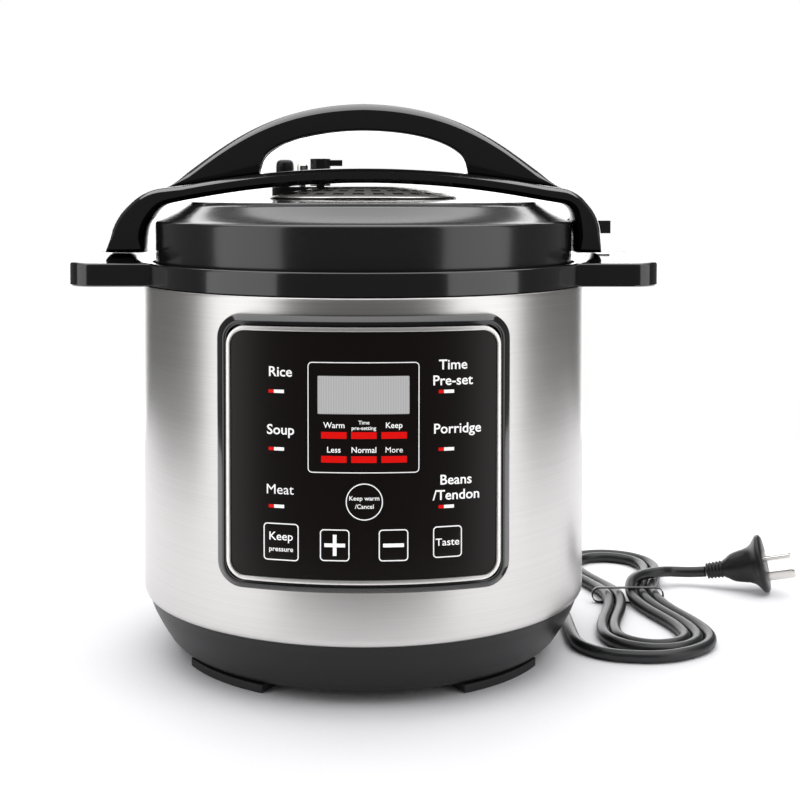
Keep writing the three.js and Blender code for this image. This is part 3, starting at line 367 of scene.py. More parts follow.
# Etched aluminium plate: bright ground with dark filled blocks in rings, worked out from angle and radius.
def badgeMaterial(settings):
    material, tree, shader = newMaterial("etchedAluminiumPlate", "#d9d7d4", 0.25, 0.9)
    coordinates = addNode(tree, "ShaderNodeTexCoord")
    split = addNode(tree, "ShaderNodeSeparateXYZ", {}, {0: coordinates.outputs["Object"]})

    def maths(operation, first, second=None):
        node = addNode(tree, "ShaderNodeMath", {"operation": operation})
        for k, value in enumerate([first, second]):
            if isinstance(value, (int, float)):
                node.inputs[k].default_value = value
            elif value is not None:
                tree.links.new(value, node.inputs[k])
        return node.outputs[0]

    angle = maths("ARCTAN2", split.outputs["Y"], split.outputs["X"])
    radius = maths("SQRT", maths("ADD", maths("POWER", split.outputs["X"], 2.0),
                                 maths("POWER", split.outputs["Y"], 2.0)))
    sectors = maths("SINE", maths("MULTIPLY", angle, settings["blocks"]))
    rings = maths("SINE", maths("MULTIPLY", radius, 2 * math.pi / (settings["ring"] * mm)))
    inBlock = maths("MULTIPLY", maths("GREATER_THAN", sectors, -0.25), maths("GREATER_THAN", rings, 0.1))
    inBand = maths("MULTIPLY", maths("LESS_THAN", radius, settings["patternOuter"] * mm),
                   maths("GREATER_THAN", radius, settings["patternInner"] * mm))
    dark = maths("MULTIPLY", inBlock, inBand)
    mix = addNode(tree, "ShaderNodeMix", {"data_type": "RGBA"}, {0: dark})
    mix.inputs[6].default_value, mix.inputs[7].default_value = linear("#e2e0dd"), linear("#1b1a1a")
    tree.links.new(mix.outputs[2], shader.inputs["Base Color"])
    rough = addNode(tree, "ShaderNodeMapRange", {"To Min": 0.24, "To Max": 0.5}, {"Value": dark})
    tree.links.new(rough.outputs["Result"], shader.inputs["Roughness"])
    return material


boardMaterial = circuitBoardMaterial()
displayGreyPaintedGlow = displayMaterial()
print("materials made")

# Metres. The first list runs from the strain relief to the hank, the second from the hank to the plug.
leadPoints = [
    (0.0494, 0.1356, 0.019), (0.052, 0.1428, 0.0184), (0.0542, 0.1488, 0.017), (0.0568, 0.1554, 0.015),
    (0.0624, 0.1652, 0.0116), (0.072, 0.1733, 0.0082), (0.0837, 0.1776, 0.0056), (0.0963, 0.1776, 0.0042),
    (0.108, 0.1733, 0.0037), (0.1176, 0.1652, 0.0036), (0.1238, 0.1544, 0.0036), (0.1266, 0.1421, 0.0036),
    (0.1274, 0.126, 0.0036), (0.1276, 0.108, 0.0036), (0.1276, 0.09, 0.0036), (0.1274, 0.07, 0.0036),
    (0.127, 0.05, 0.0036), (0.1265, 0.03, 0.0036), (0.126, 0.012, 0.0036), (0.1255, -0.005, 0.0036),
    (0.1254, -0.02, 0.0036), (0.1264, -0.0275, 0.0036), (0.1293, -0.0345, 0.0036), (0.1339, -0.0405, 0.0036),
    (0.1399, -0.0451, 0.0036), (0.1472, -0.0481, 0.0036), (0.1546, -0.0493, 0.0036),
]
plugLeadPoints = [
    (0.2125, 0.105, 0.0094), (0.2176, 0.1049, 0.0092), (0.223, 0.1041, 0.0093), (0.2282, 0.1028, 0.0098),
    (0.2332, 0.1011, 0.0106),
]
# Metres, but for start and turns, which count laps. near is the middle of the near loop, waist how far the
# sides draw in, bend the radius of the last strand, over its height where it crosses.
hankSet = {"near": (0.173, -0.010), "run": 0.150, "radius": 0.0352, "waist": 0.016, "pitch": 0.0075,
           "start": 0.045, "turns": 2.25, "bend": 0.0355, "tieLift": 0.0015, "tieSpread": 0.02,
           "floor": 0.0036, "over": 0.0108}


# The racetrack spiral of the hank in plan. progress counts turns from the bottom of the near loop. Each turn
# goes round the near loop to its right side, up it, round the far loop and back down the left, and it draws
# in by one pitch. The two sides draw in at the waist by a squared sine.
def hankLoop(progress):
    s = hankSet
    run = s["run"]
    offset = s["radius"] - s["pitch"] * progress
    arc = np.pi * offset
    quarter = arc / 2
    along = (progress % 1.0) * (2 * run + 2 * arc)

    def side(distance):
        return offset - s["waist"] * np.sin(np.pi * distance / run) ** 2

    nearRight = along / offset  # angle round the near loop, from its bottom to the right side
    up = along - quarter
    far = (along - quarter - run) / offset
    down = run - (along - quarter - run - arc)
    nearLeft = (along - quarter - 2 * run - arc) / offset
    stretches = [along < quarter, along < quarter + run, along < quarter + run + arc,
                 along < quarter + 2 * run + arc]
    x = np.select(stretches, [offset * np.sin(nearRight), side(up), offset * np.cos(far), -side(down)],
                  -offset * np.cos(nearLeft))
    y = np.select(stretches, [-offset * np.cos(nearRight), up, run + offset * np.sin(far), down],
                  -offset * np.sin(nearLeft))
    return x, y


# The hank's centreline, a little lifted where the tie goes under it.
def hankRoute():
    s = hankSet
    progress = np.linspace(s["start"], s["turns"], 900)
    x, y = hankLoop(progress)
    lift = s["tieLift"] * np.exp(-(((y - s["run"] / 2) / s["tieSpread"]) ** 2))
    z = s["floor"] + np.where((y > 0.03) & (y < s["run"] - 0.03), lift, 0)
    return np.stack([x + s["near"][0], y + s["near"][1], z], -1)


# Points set an even distance apart along their line, then eased by averaging neighbours.
def smoothed(points, spacing, rounds=2):
    points = np.asarray(points, float)
    for _ in range(rounds):
        steps = np.linalg.norm(np.diff(points, axis=0), axis=1)
        along = np.concatenate([[0], np.cumsum(steps)])
        even = np.linspace(0, along[-1], int(along[-1] / spacing) + 1)
        points = np.stack([np.interp(even, along, points[:, k]) for k in range(3)], -1)
        points[1:-1] = 0.25 * points[:-2] + 0.5 * points[1:-1] + 0.25 * points[2:]
    return points


# The last strand leaves the right side on an arc of the bend radius. Over 28 mm about there it rises by a
# smooth step, to lie on the two strands that it crosses. Gives back the raised hank and the arc.
def lastRun(hank):
    s = hankSet
    start = hank[-1]
    turn = np.linspace(0, np.pi * 0.4, 50)
    arc = np.stack([start[0] + s["bend"] * (1 - np.cos(turn)), start[1] + s["bend"] * np.sin(turn),
                    np.full(len(turn), start[2])], -1)
    both = np.vstack([hank, arc[1:]])
    along = np.concatenate([[0], np.cumsum(np.linalg.norm(np.diff(both, axis=0), axis=1))])
    rise = np.clip((along - along[len(hank) - 1] + 0.008) / 0.028, 0, 1)
    rise = rise * rise * (3 - 2 * rise)
    both[:, 2] += (s["over"] - both[:, 2]) * rise
    return both


# A cubic between two points that keeps the two directions.
def bridge(a, aWay, b, bWay, count=24):
    reach = np.linalg.norm(np.subtract(b, a)) * 0.38
    t = np.linspace(0, 1, count + 2)[1:-1, None]
    c, d = np.add(a, np.multiply(aWay, reach)), np.subtract(b, np.multiply(bWay, reach))
    return (1 - t) ** 3 * a + 3 * t * (1 - t) ** 2 * c + 3 * t * t * (1 - t) * d + t**3 * np.asarray(b)


# The way from one point to the next, with a length of one.
def direction(a, b):
    way = np.subtract(b, a)
    return way / np.linalg.norm(way)


# The whole lead as one line: the listed points, the hank, its last strand, and the points before the plug.
def cordRoute():
    lead, hank, last = np.array(leadPoints), hankRoute(), np.array(plugLeadPoints)
    both = lastRun(hank)
    intoHank = bridge(lead[-1], direction(lead[-2], lead[-1]), hank[0], direction(hank[0], hank[1]))
    outOfHank = bridge(both[-1], direction(both[-2], both[-1]), last[0], direction(last[0], last[1]))
    return smoothed(np.vstack([lead, intoHank, both, outOfHank, last]), 0.002, 3)


# Rings of points round a path, kept upright: ring i is path(i) + r (side cos t + up sin t).
def sweptPoints(path, radius, sides):
    path = np.asarray(path, float)
    way = np.gradient(path, axis=0)
    way /= np.linalg.norm(way, axis=1)[:, None]
    side = np.cross(way, np.array([0, 0, 1.0]))
    side /= np.linalg.norm(side, axis=1)[:, None]
    up = np.cross(side, way)
    t = np.linspace(0, 2 * np.pi, sides, endpoint=False)
    return path[:, None] + radius * (side[:, None] * np.cos(t)[:, None] + up[:, None] * np.sin(t)[:, None])


# A capped tube along a path. The path and radius are in metres.
def tubePiece(name, path, radius, material, body, nodes=(), sides=20):
    rings = sweptPoints(path, radius, sides)
    flat = np.vstack([rings.reshape(-1, 3), rings[0].mean(0), rings[-1].mean(0)])
    return outwards(newPiece(name, flat / mm, cappedFaces(len(rings), sides), material, body, nodes))


route = cordRoute()
cordLength = float(np.linalg.norm(np.diff(route, axis=0), axis=1).sum())
print("cord length", round(cordLength, 4))
cord = tubePiece("mainsCord", route, 0.0035, cordSheath, "root",
                 ("cord_lead", "cord_hank", "plug_lead"))

# place is the middle of the face in metres, tilt and swing are degrees about Y and Z, pinch the share by
# which the body is narrowed for the fingers.
plugSet = {"place": (0.2697, 0.0884, 0.0198), "tilt": -13, "swing": -19, "ribs": 5, "ribHeight": 0.35,
           "pinch": 0.22, "sides": 64}


# Turned about Y then Z and set down where the plug's face is.
def plugPlace(points):
    points = np.asarray(points, float)
    b, c = math.radians(plugSet["tilt"]), math.radians(plugSet["swing"])
    aboutY = np.array([[math.cos(b), 0, math.sin(b)], [0, 1, 0], [-math.sin(b), 0, math.cos(b)]])
    aboutZ = np.array([[math.cos(c), -math.sin(c), 0], [math.sin(c), math.cos(c), 0], [0, 0, 1]])
    return points @ (aboutZ @ aboutY).T + np.array(plugSet["place"]) / mm


# Radius and place along the plug from the tail to the face: a ribbed strain relief whose ribs follow a
# cosine, a waist to hold by, and a disc.
def plugProfile():
    body = [(0, 0), (17.6, 0), (18, -0.4), (19, -1), (19, -3), (18.4, -3.6), (16.5, -5), (14, -7), (12.5, -9),
            (11.4, -12), (10.8, -15), (10.2, -18), (9.4, -21), (8.2, -23.4), (6.8, -25.2), (6.3, -26.4)]
    reliefStart, reliefLength = -27, 11.6
    along = np.linspace(reliefStart, reliefStart - reliefLength, 36)
    share = (along - reliefStart) / reliefLength
    ribs = 5.5 + 0.5 * share + plugSet["ribHeight"] * np.cos(share * 2 * np.pi * plugSet["ribs"])
    return np.array(body + list(zip(ribs, along)) + [(4.2, -39), (0, -39)])[::-1]


# The profile turned about the plug's axis. Between the disc and the relief its width is drawn in by a squared
# sine of the place along it.
def plugPiece():
    s = plugSet
    grid = turnedGrid(plugProfile(), s["sides"])
    along = grid[..., 2]
    waist = np.where((along < -4) & (along > -27), np.sin(np.pi * (along + 4) / 23) ** 2, 0)
    points = np.stack([along, grid[..., 0] * (1 - s["pinch"] * waist), grid[..., 1]], -1)
    flat = np.vstack([points[1:-1].reshape(-1, 3), points[0, 0], points[-1, 0]])
    faces = cappedFaces(len(points) - 2, s["sides"])
    piece = newPiece("plugBody", plugPlace(flat), faces, satinPlastic, "root", ("plug_body",))
    return outwards(piece)


plug = plugPiece()


# How far out along the pin, and what share of its section is left there.
pinSet = {"width": 6.25, "thickness": 1.55, "corner": 0.7,
          "stations": [(-0.5, 1), (0, 1), (15.4, 1), (16.8, 0.93), (17.6, 0.8), (18, 0.6)]}


# A flat blade with its end drawn in: a rounded rectangle swept along X, getting smaller over the last 2.6 mm.
def pinPiece(name, node, y, z, turn):
    s = pinSet
    u, v = roundedBox(s["thickness"], s["width"], s["corner"], 3).T
    c, d = math.cos(math.radians(turn)), math.sin(math.radians(turn))
    rings = [np.stack([np.full(len(u), x), y + (u * c - v * d) * size, z + (u * d + v * c) * size], -1)
             for x, size in s["stations"]]
    sides = len(u)
    faces = gridFaces(len(rings), sides, False, True).tolist()
    faces += [list(range(sides)), [(len(rings) - 1) * sides + k for k in range(sides)][::-1]]
    piece = newPiece(name, plugPlace(np.vstack(rings)), faces, nickelPlate, "root", (node,))
    return finishEdges(outwards(piece), 0.15)


pins = [pinPiece("pinLive", "plug_pin_live", -7, 4, 60),
        pinPiece("pinNeutral", "plug_pin_neutral", 7, 4, -60),
        pinPiece("pinEarth", "plug_pin_earth", 0, -9, 0)]

tieSet = {"middle": (173, 65, 5.35), "size": (46.8, 9.9), "corner": 4.6, "thickness": 0.5, "width": 3.6}


# A band round the hank: a rounded box in X and Z and the same drawn in by the thickness, swept along Y.
def tieBand():
    s = tieSet
    x, y, z = s["middle"]
    (width, height), wall = s["size"], s["thickness"]
    outer = roundedBox(width, height, s["corner"], 8, x, z)
    inner = roundedBox(width - 2 * wall, height - 2 * wall, s["corner"] - 0.4, 8, x, z)
    near, far = y - s["width"] / 2, y + s["width"] / 2
    rings = [np.column_stack([edge[:, 0], np.full(len(edge), place), edge[:, 1]])
             for edge, place in [(outer, near), (outer, far), (inner, far), (inner, near)]]
    return newPiece("cableTie", np.vstack(rings), gridFaces(4, len(outer), True, True), satinPlastic, "root",
                    ("cord_tie",))


tie = tieBand()
print("lead, plug and tie made")

# The two windows are width, height, corner and the height of the middle. They are for the panel and the cup.
bodySet = {"radius": 130.0, "low": 36.3, "high": 214.7, "wall": 0.9, "columns": 480, "curl": 0.15,
           "window": (146.0, 136.0, 11.0, 135.6), "pocket": (68.0, 56.0, 4.0, 176.5)}


# How far a place is outside a rounded window, wrapped round the body: negative inside it, in millimetres.
def outsideWindow(angle, height, window, middle):
    width, tall, corner, level = window
    turn = np.abs(np.mod(angle - middle + np.pi, 2 * np.pi) - np.pi)
    across = turn * bodySet["radius"] - (width / 2 - corner)
    up = np.abs(height - level) - (tall / 2 - corner)
    return np.hypot(np.maximum(across, 0), np.maximum(up, 0)) - corner + np.minimum(np.maximum(across, up), 0)


# Straight wall with its last two millimetres turned in by a squared term at each edge.
def shellRadius(z):
    s = bodySet
    edge = np.maximum(s["low"] + 2 - z, 0) + np.maximum(z - (s["high"] - 2), 0)
    return s["radius"] - s["curl"] * edge**2


# The wall is bent to a cylinder: the point at angle t and height z is (R(z) sin t, -R(z) cos t, z). Grid
# cells whose corners are on the average inside a window are left out, and other pieces cover the steps.
def steelShell():
    s = bodySet
    lowCurl, highCurl = [36.3, 36.8, 37.5, 38.3, 40, 45, 55], [212.7, 213.5, 214.2, 214.7]
    lines = np.concatenate([lowCurl, np.arange(62, 214, 2.0), highCurl])
    angle, height = np.meshgrid(np.linspace(-np.pi, np.pi, s["columns"], endpoint=False), np.unique(lines))
    keep = np.ones((len(height) - 1, s["columns"]), bool)
    for window, middle in [(s["window"], 0.0), (s["pocket"], np.pi)]:
        outside = outsideWindow(angle, height, window, middle)
        following = np.roll(outside, -1, 1)
        keep &= (outside[:-1] + outside[1:] + following[:-1] + following[1:]) / 4 > 0
    radius = shellRadius(height)
    points = np.stack([radius * np.sin(angle), -radius * np.cos(angle), height], -1)
    faces = gridFaces(len(height), s["columns"], False, True, keep)
    wall = newPiece("steelShell", points, faces, brushedSteel, "root", ("outer_shell",))
    return solidify(wall, s["wall"])


steelShell()

baseSet = {"flat": 92.0, "low": 5.0, "high": 7.5, "slots": 10, "slotInner": 48.0, "slotOuter": 84.0,
           "slotWidth": 4.0}

# The bowl: a flat underside, a soft curve out and up, a small step under the shell and a spigot inside it.
baseBowl = [(92, 5), (104, 5), (108, 5.15), (111, 5.9), (113.8, 7.5), (116.8, 10.6), (119.8, 15.4),
            (122.6, 20.2), (125.2, 25.2), (127, 29.6), (128.4, 33.6), (129.2, 35.2), (129.2, 36),
            (128.5, 36.1), (128.5, 42), (126.6, 42), (126.6, 36), (124.6, 31.6), (122.2, 25.6),
            (119.6, 20.4), (116.9, 15.8), (113.8, 11.4), (110.8, 8.8), (107.5, 7.6), (104, 7.5), (92, 7.5)]
finishEdges(turnedPiece("baseBowl", baseBowl, satinPlastic, "root", (), 192), 0.3)


# The flat of the base: a disc, with radial slots that have round ends.
def ventFloor():
    s = baseSet
    slot = roundedBox(s["slotOuter"] - s["slotInner"], s["slotWidth"], s["slotWidth"] / 2 - 0.01, 6,
                      (s["slotOuter"] + s["slotInner"]) / 2)
    outlines = [circle(s["flat"], 192)]
    for k in range(s["slots"]):
        c, d = math.cos(2 * np.pi * k / s["slots"]), math.sin(2 * np.pi * k / s["slots"])
        outlines.append(slot @ np.array([[c, d], [-d, c]]))
    return outlines


# A flat plate cut to the first outline less the others, between two heights, with a rim round every outline.
def flatPlate(name, outlines, low, high, material, body, nodes):
    verts, tris = filledPlan(outlines)
    count = len(verts)
    points = np.vstack([np.column_stack([verts, np.full(count, float(z))]) for z in (high, low)])
    return newPiece(name, points, plateFaces(tris, count), material, body, nodes, False)


flatPlate("baseFloor", ventFloor(), baseSet["low"], baseSet["high"], satinPlastic, "root",
          ("base_tray",))

# span is in degrees. section gives heights and how far each is drawn in, for a pad of that mean half size.
footSet = {"span": 32, "inner": 97.0, "outer": 112.0, "corner": 3.5, "half": 22,
           "section": [(4.7, 0), (0.9, 0), (0.25, 0.35), (0.0, 1.1)]}


# An arc pad: its plan is a band of a ring with round corners. The tread is drawn in by a small chamfer.
def footPiece(name, node, middle):
    s = footSet
    span = math.radians(s["span"])
    a = np.linspace(middle - span / 2, middle + span / 2, 28)
    way = np.stack([np.cos(a), np.sin(a)], -1)
    outline = rounded(np.vstack([s["outer"] * way, s["inner"] * way[::-1]]), s["corner"])
    centre, sides = outline.mean(0), len(outline)
    rings = [np.column_stack([centre + (outline - centre) * (1 - inwards / s["half"]), np.full(sides, z)])
             for z, inwards in s["section"]]
    faces = gridFaces(4, sides, False, True).tolist()
    faces += [list(range(sides)), [3 * sides + k for k in range(sides)]]
    return outwards(newPiece(name, np.vstack(rings), faces, footRubber, "root", (node,), False))


for footName, footNode, footTurn in [
        ("footRearRight", "foot_rear_right", 45), ("footRearLeft", "foot_rear_left", 135),
        ("footFrontLeft", "foot_front_left", 225), ("footFrontRight", "foot_front_right", 315)]:
    footPiece(footName, footNode, math.radians(footTurn))
print("body, base and feet made")

# reach and half are the side handles' tip and half width, slot the middle, length and width of the slot in
# which the lid parks, gutter the radius where the top sheet ends.
collarSet = {"low": 215.0, "top": 228.3, "rim": 130.0, "reach": 170.7, "half": 44.0, "corner": 16.0,
             "crown": 4.7, "slot": (150.7, 15.2, 5.2), "slotFloor": 223.0, "gutter": 126.3, "edge": 1.4,
             "underEdge": 0.8}


# The collar from above, anticlockwise: a handle with two round corners at each side, and arcs of the body's
# circle between them.
def collarOutline():
    s = collarSet
    meet = math.asin(s["half"] / s["rim"])
    root = s["rim"] * math.cos(meet)
    x, y = s["reach"] - s["corner"], s["half"] - s["corner"]
    quarter = np.linspace(0, np.pi / 2, 12)
    tips = [np.stack([x + s["corner"] * np.cos(turn), side * y + s["corner"] * np.sin(turn)], -1)
            for side, turn in [(-1, quarter - np.pi / 2), (1, quarter)]]
    right = np.vstack([[(root, -s["half"])], *tips, [(root, s["half"])]])
    arc = np.linspace(meet, np.pi - meet, 120)[1:-1]
    back = s["rim"] * np.stack([np.cos(arc), np.sin(arc)], -1)
    return subdivided(np.vstack([right, back, -right, -back]), 3.0)


# Top of the collar: level round the lid, rising on each handle to its crown at the middle of its width, by a
# quadratic in y, and falling again over the last 14 mm of its length.
def crownHeight(x, y):
    s = collarSet
    over = np.clip((np.hypot(x, y) - s["rim"]) / 8, 0, 1)
    across = np.clip(1 - (y / (s["half"] - 2)) ** 2, 0, 1)
    end = np.clip((s["reach"] - np.abs(x)) / 14, 0, 1)
    end = end * (2 - end)
    return s["top"] + s["crown"] * over * over * (3 - 2 * over) * across * end


# The gutter and the well, from the top sheet's edge down, across and back under: radius and height.
gutterProfile = [(126.3, 228.3), (125.9, 228.0), (125.9, 218.4), (125.5, 218.0), (115.6, 218.0),
                 (115.2, 218.4), (115.2, 226.6), (113.9, 226.6), (113.9, 215.0), (126.3, 215.0)]


# Top sheet with the parking slots cut in, an upper edge of insets that follow a quarter circle, the side
# wall, a flat underside, the slots' walls and floors, and the gutter turned inside.
def collarPiece():
    s = collarSet
    outline, sides = collarOutline(), 240
    count = len(outline)
    turn = np.linspace(0, np.pi / 2, 5)
    drops = -s["edge"] * (1 - np.sin(turn))
    edges = [inset(outline, s["edge"] * (1 - math.cos(a))) for a in turn]
    slots = [roundedBox(s["slot"][1], s["slot"][2], 1.6, 5, side * s["slot"][0]) for side in (1, -1)]
    gutter = circle(s["gutter"], sides)
    points, faces, start = [], [], 0

    def crowned(plan, drop=0.0):
        return np.column_stack([plan, crownHeight(plan[:, 0], plan[:, 1]) + drop])

    def put(more, moreFaces):
        nonlocal start
        points.append(more.reshape(-1, 3))
        faces.extend((np.asarray(moreFaces) + start).tolist())
        start += len(points[-1])

    top, topTris = filledPlan([edges[-1], gutter, *slots], 4.0)
    put(crowned(top), topTris)
    rim = crowned(edges[-1])[:, 2]
    under = inset(outline, s["underEdge"])
    wall = [np.column_stack([under, np.full(count, s["low"])]),
            np.column_stack([outline, np.full(count, s["low"] + s["underEdge"])])]
    wall += [np.column_stack([edge, rim + drop]) for edge, drop in zip(edges, drops)]
    put(np.vstack(wall), gridFaces(len(wall), count, False, True))
    floor, floorTris = filledPlan([under, gutter], 9.0)
    put(np.column_stack([floor, np.full(len(floor), s["low"])]), np.array(floorTris)[:, [0, 2, 1]])
    for slot in slots:
        n = len(slot)
        put(np.vstack([crowned(slot), np.column_stack([slot, np.full(n, s["slotFloor"])])]),
            gridFaces(2, n, False, True)[:, ::-1])
        faces.append([start - n + k for k in range(n)])
    well = turnedGrid(gutterProfile, sides)
    put(well, gridFaces(len(well), sides, False, True))
    piece = newPiece("collar", np.vstack(points), faces, glossPlastic, "root", ("collar",))
    return weld(piece)


collarPiece()

# The drain lip behind the collar: a rounded block over the cup, with a soft front edge.
drainLip = flatPlate("drainLip", [roundedBox(40, 12, 2.2, 5, 0, 133.2)], 215.2, 222.9, glossPlastic, "root",
                     ())
finishEdges(drainLip, 0.4)
print("collar made")

# Heights on the lid are measured from the datum, which is the top of the collar.
lidSet = {"datum": 228.3, "sides": 256}


# A profile whose heights are from the datum, raised to its place.
def onDatum(profile):
    return [(r, h + lidSet["datum"]) for r, h in profile]


# Skirt, a rolled rim, the cone up to the cover, and the inside.
lidProfile = [(122.4, -7.2), (123.2, -7.8), (123.8, -7.5), (124.0, -6.8), (124.0, 21.6), (123.9, 22.6),
              (123.5, 23.3), (122.8, 23.75), (121.8, 24.05), (118.5, 25.3), (112.0, 28.7), (106.0, 32.4),
              (103.7, 33.9), (102.4, 33.5), (102.2, 32.2), (106.0, 30.2), (112.0, 26.8), (118.5, 23.4),
              (121.6, 22.0), (122.3, 21.0), (122.4, 19.0)]
turnedPiece("lidShell", onDatum(lidProfile), paintedSteel, "lid", ("lid_shell",),
            lidSet["sides"])

coverSet = {"edge": 103.0, "edgeHeight": 34.7, "ringRise": 2.0, "ringWidth": 46.0, "dome": 57.0,
            "domeFoot": 36.7, "domeRise": 7.0}


# The dome's height: a parabola in the radius.
def domeHeight(radius):
    s = coverSet
    return s["domeFoot"] + s["domeRise"] * (1 - (radius / s["dome"]) ** 2)


# The top cover: a rolled edge, an almost flat ring rising as r falls, then the dome, and its inside.
def coverProfile():
    s = coverSet
    edge = [(101.8, 30.8), (103.0, 30.6), (103.6, 31.4), (103.7, 33.0), (103.5, 34.3), (102.8, 34.9),
            (101.6, 35.05)]
    ring = [(r, s["edgeHeight"] + s["ringRise"] * (s["edge"] - r) / s["ringWidth"])
            for r in np.linspace(100, 58.5, 10)]
    dome = [(r, domeHeight(r)) for r in np.linspace(s["dome"], 4, 22)]
    inside = [(4, 41.0), (30, 39.2), (57, 34.2), (100, 32.2), (101.8, 31.6)]
    return edge + ring + dome + inside


turnedPiece("lidCover", onDatum(coverProfile()), glossPlastic, "lid", ("lid_cover",),
            lidSet["sides"])

# shoulder is the arch's height at shoulderX, left and right are how far the legs' outsides reach, chamfer is
# how far the long edges are drawn in and over what width.
strapSet = {"top": 54.7, "shoulder": 42.2, "shoulderX": 117.0, "thickness": 8.6, "half": 30.0, "foot": 5.4,
            "left": 150.6, "right": 139.1, "legLeft": 22.0, "legRight": 14.0, "archEnd": 106.0,
            "chamfer": (2.4, 4.6)}


# Height of the strap's top, or of a line a drop below it: a parabola in x.
def strapArch(x, drop=0.0):
    s = strapSet
    return s["top"] - drop - (s["top"] - s["shoulder"]) * (x / s["shoulderX"]) ** 2


# The strap from the front: the arch over the lid, round shoulders, and a leg down to each side handle.
def strapOutline():
    s = strapSet
    end, thick, foot = s["archEnd"], s["thickness"], s["foot"]
    left, leftIn = -s["left"], -s["left"] + s["legLeft"]
    right, rightIn = s["right"], s["right"] - s["legRight"]
    across = np.linspace(-end, end, 45)
    top = np.column_stack([across, strapArch(across)])[::-1]
    under = np.column_stack([across, strapArch(across, thick)])
    leftOutside = rounded([(-end, strapArch(end)), (-128, strapArch(121) + 0.6), (left + 6, 26),
                           (left, foot)], 34, 12, False)
    leftInside = rounded([(leftIn, foot), (leftIn, 20), (-119.5, strapArch(118, thick) - 0.4),
                          (-end, strapArch(end, thick))], 9, 8, False)
    rightInside = rounded([(end, strapArch(end, thick)), (122.4, strapArch(119, thick)), (rightIn, 20),
                           (rightIn, foot)], 9, 8, False)
    rightOutside = rounded([(right, foot), (right - 1.5, 26), (124, strapArch(118)), (end, strapArch(end))],
                           26, 12, False)
    return np.vstack([top, leftOutside[1:], leftInside, under[1:-1], rightInside, rightOutside[:-1]])


# The outline in X and height swept across Y, filled at both sides. Its two long edges are cut back by a
# chamfer of two flats.
def strapPiece():
    s = strapSet
    outline = strapOutline()
    depth, run = s["chamfer"]
    steps = [(s["half"], depth), (s["half"] - run * 0.55, depth * 0.35), (s["half"] - run, 0.0)]
    side, tris = filledPlan([inset(outline, depth)])
    count, n = len(side), len(outline)

    def put(plan, y):
        return np.column_stack([plan[:, 0], np.full(len(plan), y), plan[:, 1] + lidSet["datum"]])

    points = [put(side, -s["half"]), put(side, s["half"])]
    points += [put(inset(outline, drawn), -y) for y, drawn in steps]
    points += [put(inset(outline, drawn), y) for y, drawn in steps[::-1]]
    faces = tris + [[k + count for k in tri[::-1]] for tri in tris]
    faces += (gridFaces(2 * len(steps), n, False, True) + 2 * count).tolist()
    piece = newPiece("lidStrap", np.vstack(points), faces, glossPlastic, "lid", ("lid_strap",))
    return weld(piece)


strapPiece()

# half and toe are half its width and length, opening, shoulder and crown give the finger opening's half
# length, end height and middle height, chamfer is across and down, under is the lower edges' round.
handleSet = {"top": 93.1, "half": 15.4, "toe": 117.0, "opening": 59.5, "shoulder": 59.4, "crown": 77.0,
             "chamfer": (5.0, 3.6), "under": 1.6}


# A Bezier curve from its control points, by repeated averaging.
def curve(points, count):
    t = np.linspace(0, 1, count)[:, None]
    level = [np.asarray(p, float)[None] for p in points]
    while len(level) > 1:
        level = [(1 - t) * a + t * b for a, b in zip(level[:-1], level[1:])]
    return level[0]


# The arch as sections across it, one at each station along X. The top follows two mirrored cubics. The
# underside follows the finger opening's cubic, and the strap's top beyond its ends. Each section is a box
# whose upper edges are cut by a flat chamfer with eased corners, and it widens towards the toes as x squared.
def handlePiece():
    s = handleSet
    left = curve([(-s["toe"], strapArch(s["toe"]) + 0.9), (-88, 63), (-62, 92.1), (0, s["top"])], 90)
    x = np.concatenate([left[:, 0], -left[::-1, 0][1:]])
    top = np.concatenate([left[:, 1], left[::-1, 1][1:]])
    opening = curve([(s["opening"], s["shoulder"]), (57, 66), (40, 76.6), (0, s["crown"])], 60)
    underOpening = np.interp(np.abs(x), opening[::-1, 0], opening[::-1, 1])
    onStrap = strapArch(x) + 0.4
    share = np.clip((np.abs(x) - s["opening"]) / 2.2, 0, 1)
    share = share * share * (3 - 2 * share)
    under = underOpening * (1 - share) + onStrap * share
    depth = np.maximum(top - under, 0.3)
    half = s["half"] * (1 + 0.18 * (x / s["toe"]) ** 2)
    across = np.minimum(s["chamfer"][0], half * 0.5)
    down = np.minimum(s["chamfer"][1], depth * 0.45)
    low = np.minimum(s["under"], depth * 0.3)
    right = [(-low, under), (-0.3 * low, under + 0.3 * low), (0, under + low), (0, top - down - 0.3),
             (-0.08 * across, top - down + 0.1), (-0.92 * across, top - 0.25), (-across - 0.5, top)]
    ring = [(half + dy, z) for dy, z in right] + [(-(half + dy), z) for dy, z in right[::-1]]
    points = np.stack([np.stack([x, y, z + lidSet["datum"]], -1) for y, z in ring], 1)
    n = len(ring)
    faces = gridFaces(len(x), n, False, True).tolist()
    faces += [list(range(n)), [(len(x) - 1) * n + k for k in range(n)][::-1]]
    piece = newPiece("lidHandle", points, faces, glossPlastic, "lid", ("lid_handle",))
    return weld(piece, 0.000001)


handlePiece()
print("lid, strap and handle made")

# The front is part of a cylinder of that radius, whose axis is that far behind the middle of the body.
# Outlines are width, height and corner. Depths are measured back from the front.
panelSet = {"level": 135.6, "radius": 185.0, "axis": 47.5, "bezel": (152.0, 142.0, 13.0),
            "trim": (141.6, 130.8, 10.0), "film": 0.4, "filmBack": 1.2, "filmEdge": 2.35, "fine": 0.000001}


# How far forward the panel's curved front is at a place across it, less a depth: a cylinder behind it.
def frontAt(x, depth=0.0):
    s = panelSet
    return s["axis"] - np.sqrt(np.maximum((s["radius"] - depth) ** 2 - np.asarray(x, float) ** 2, 1.0))


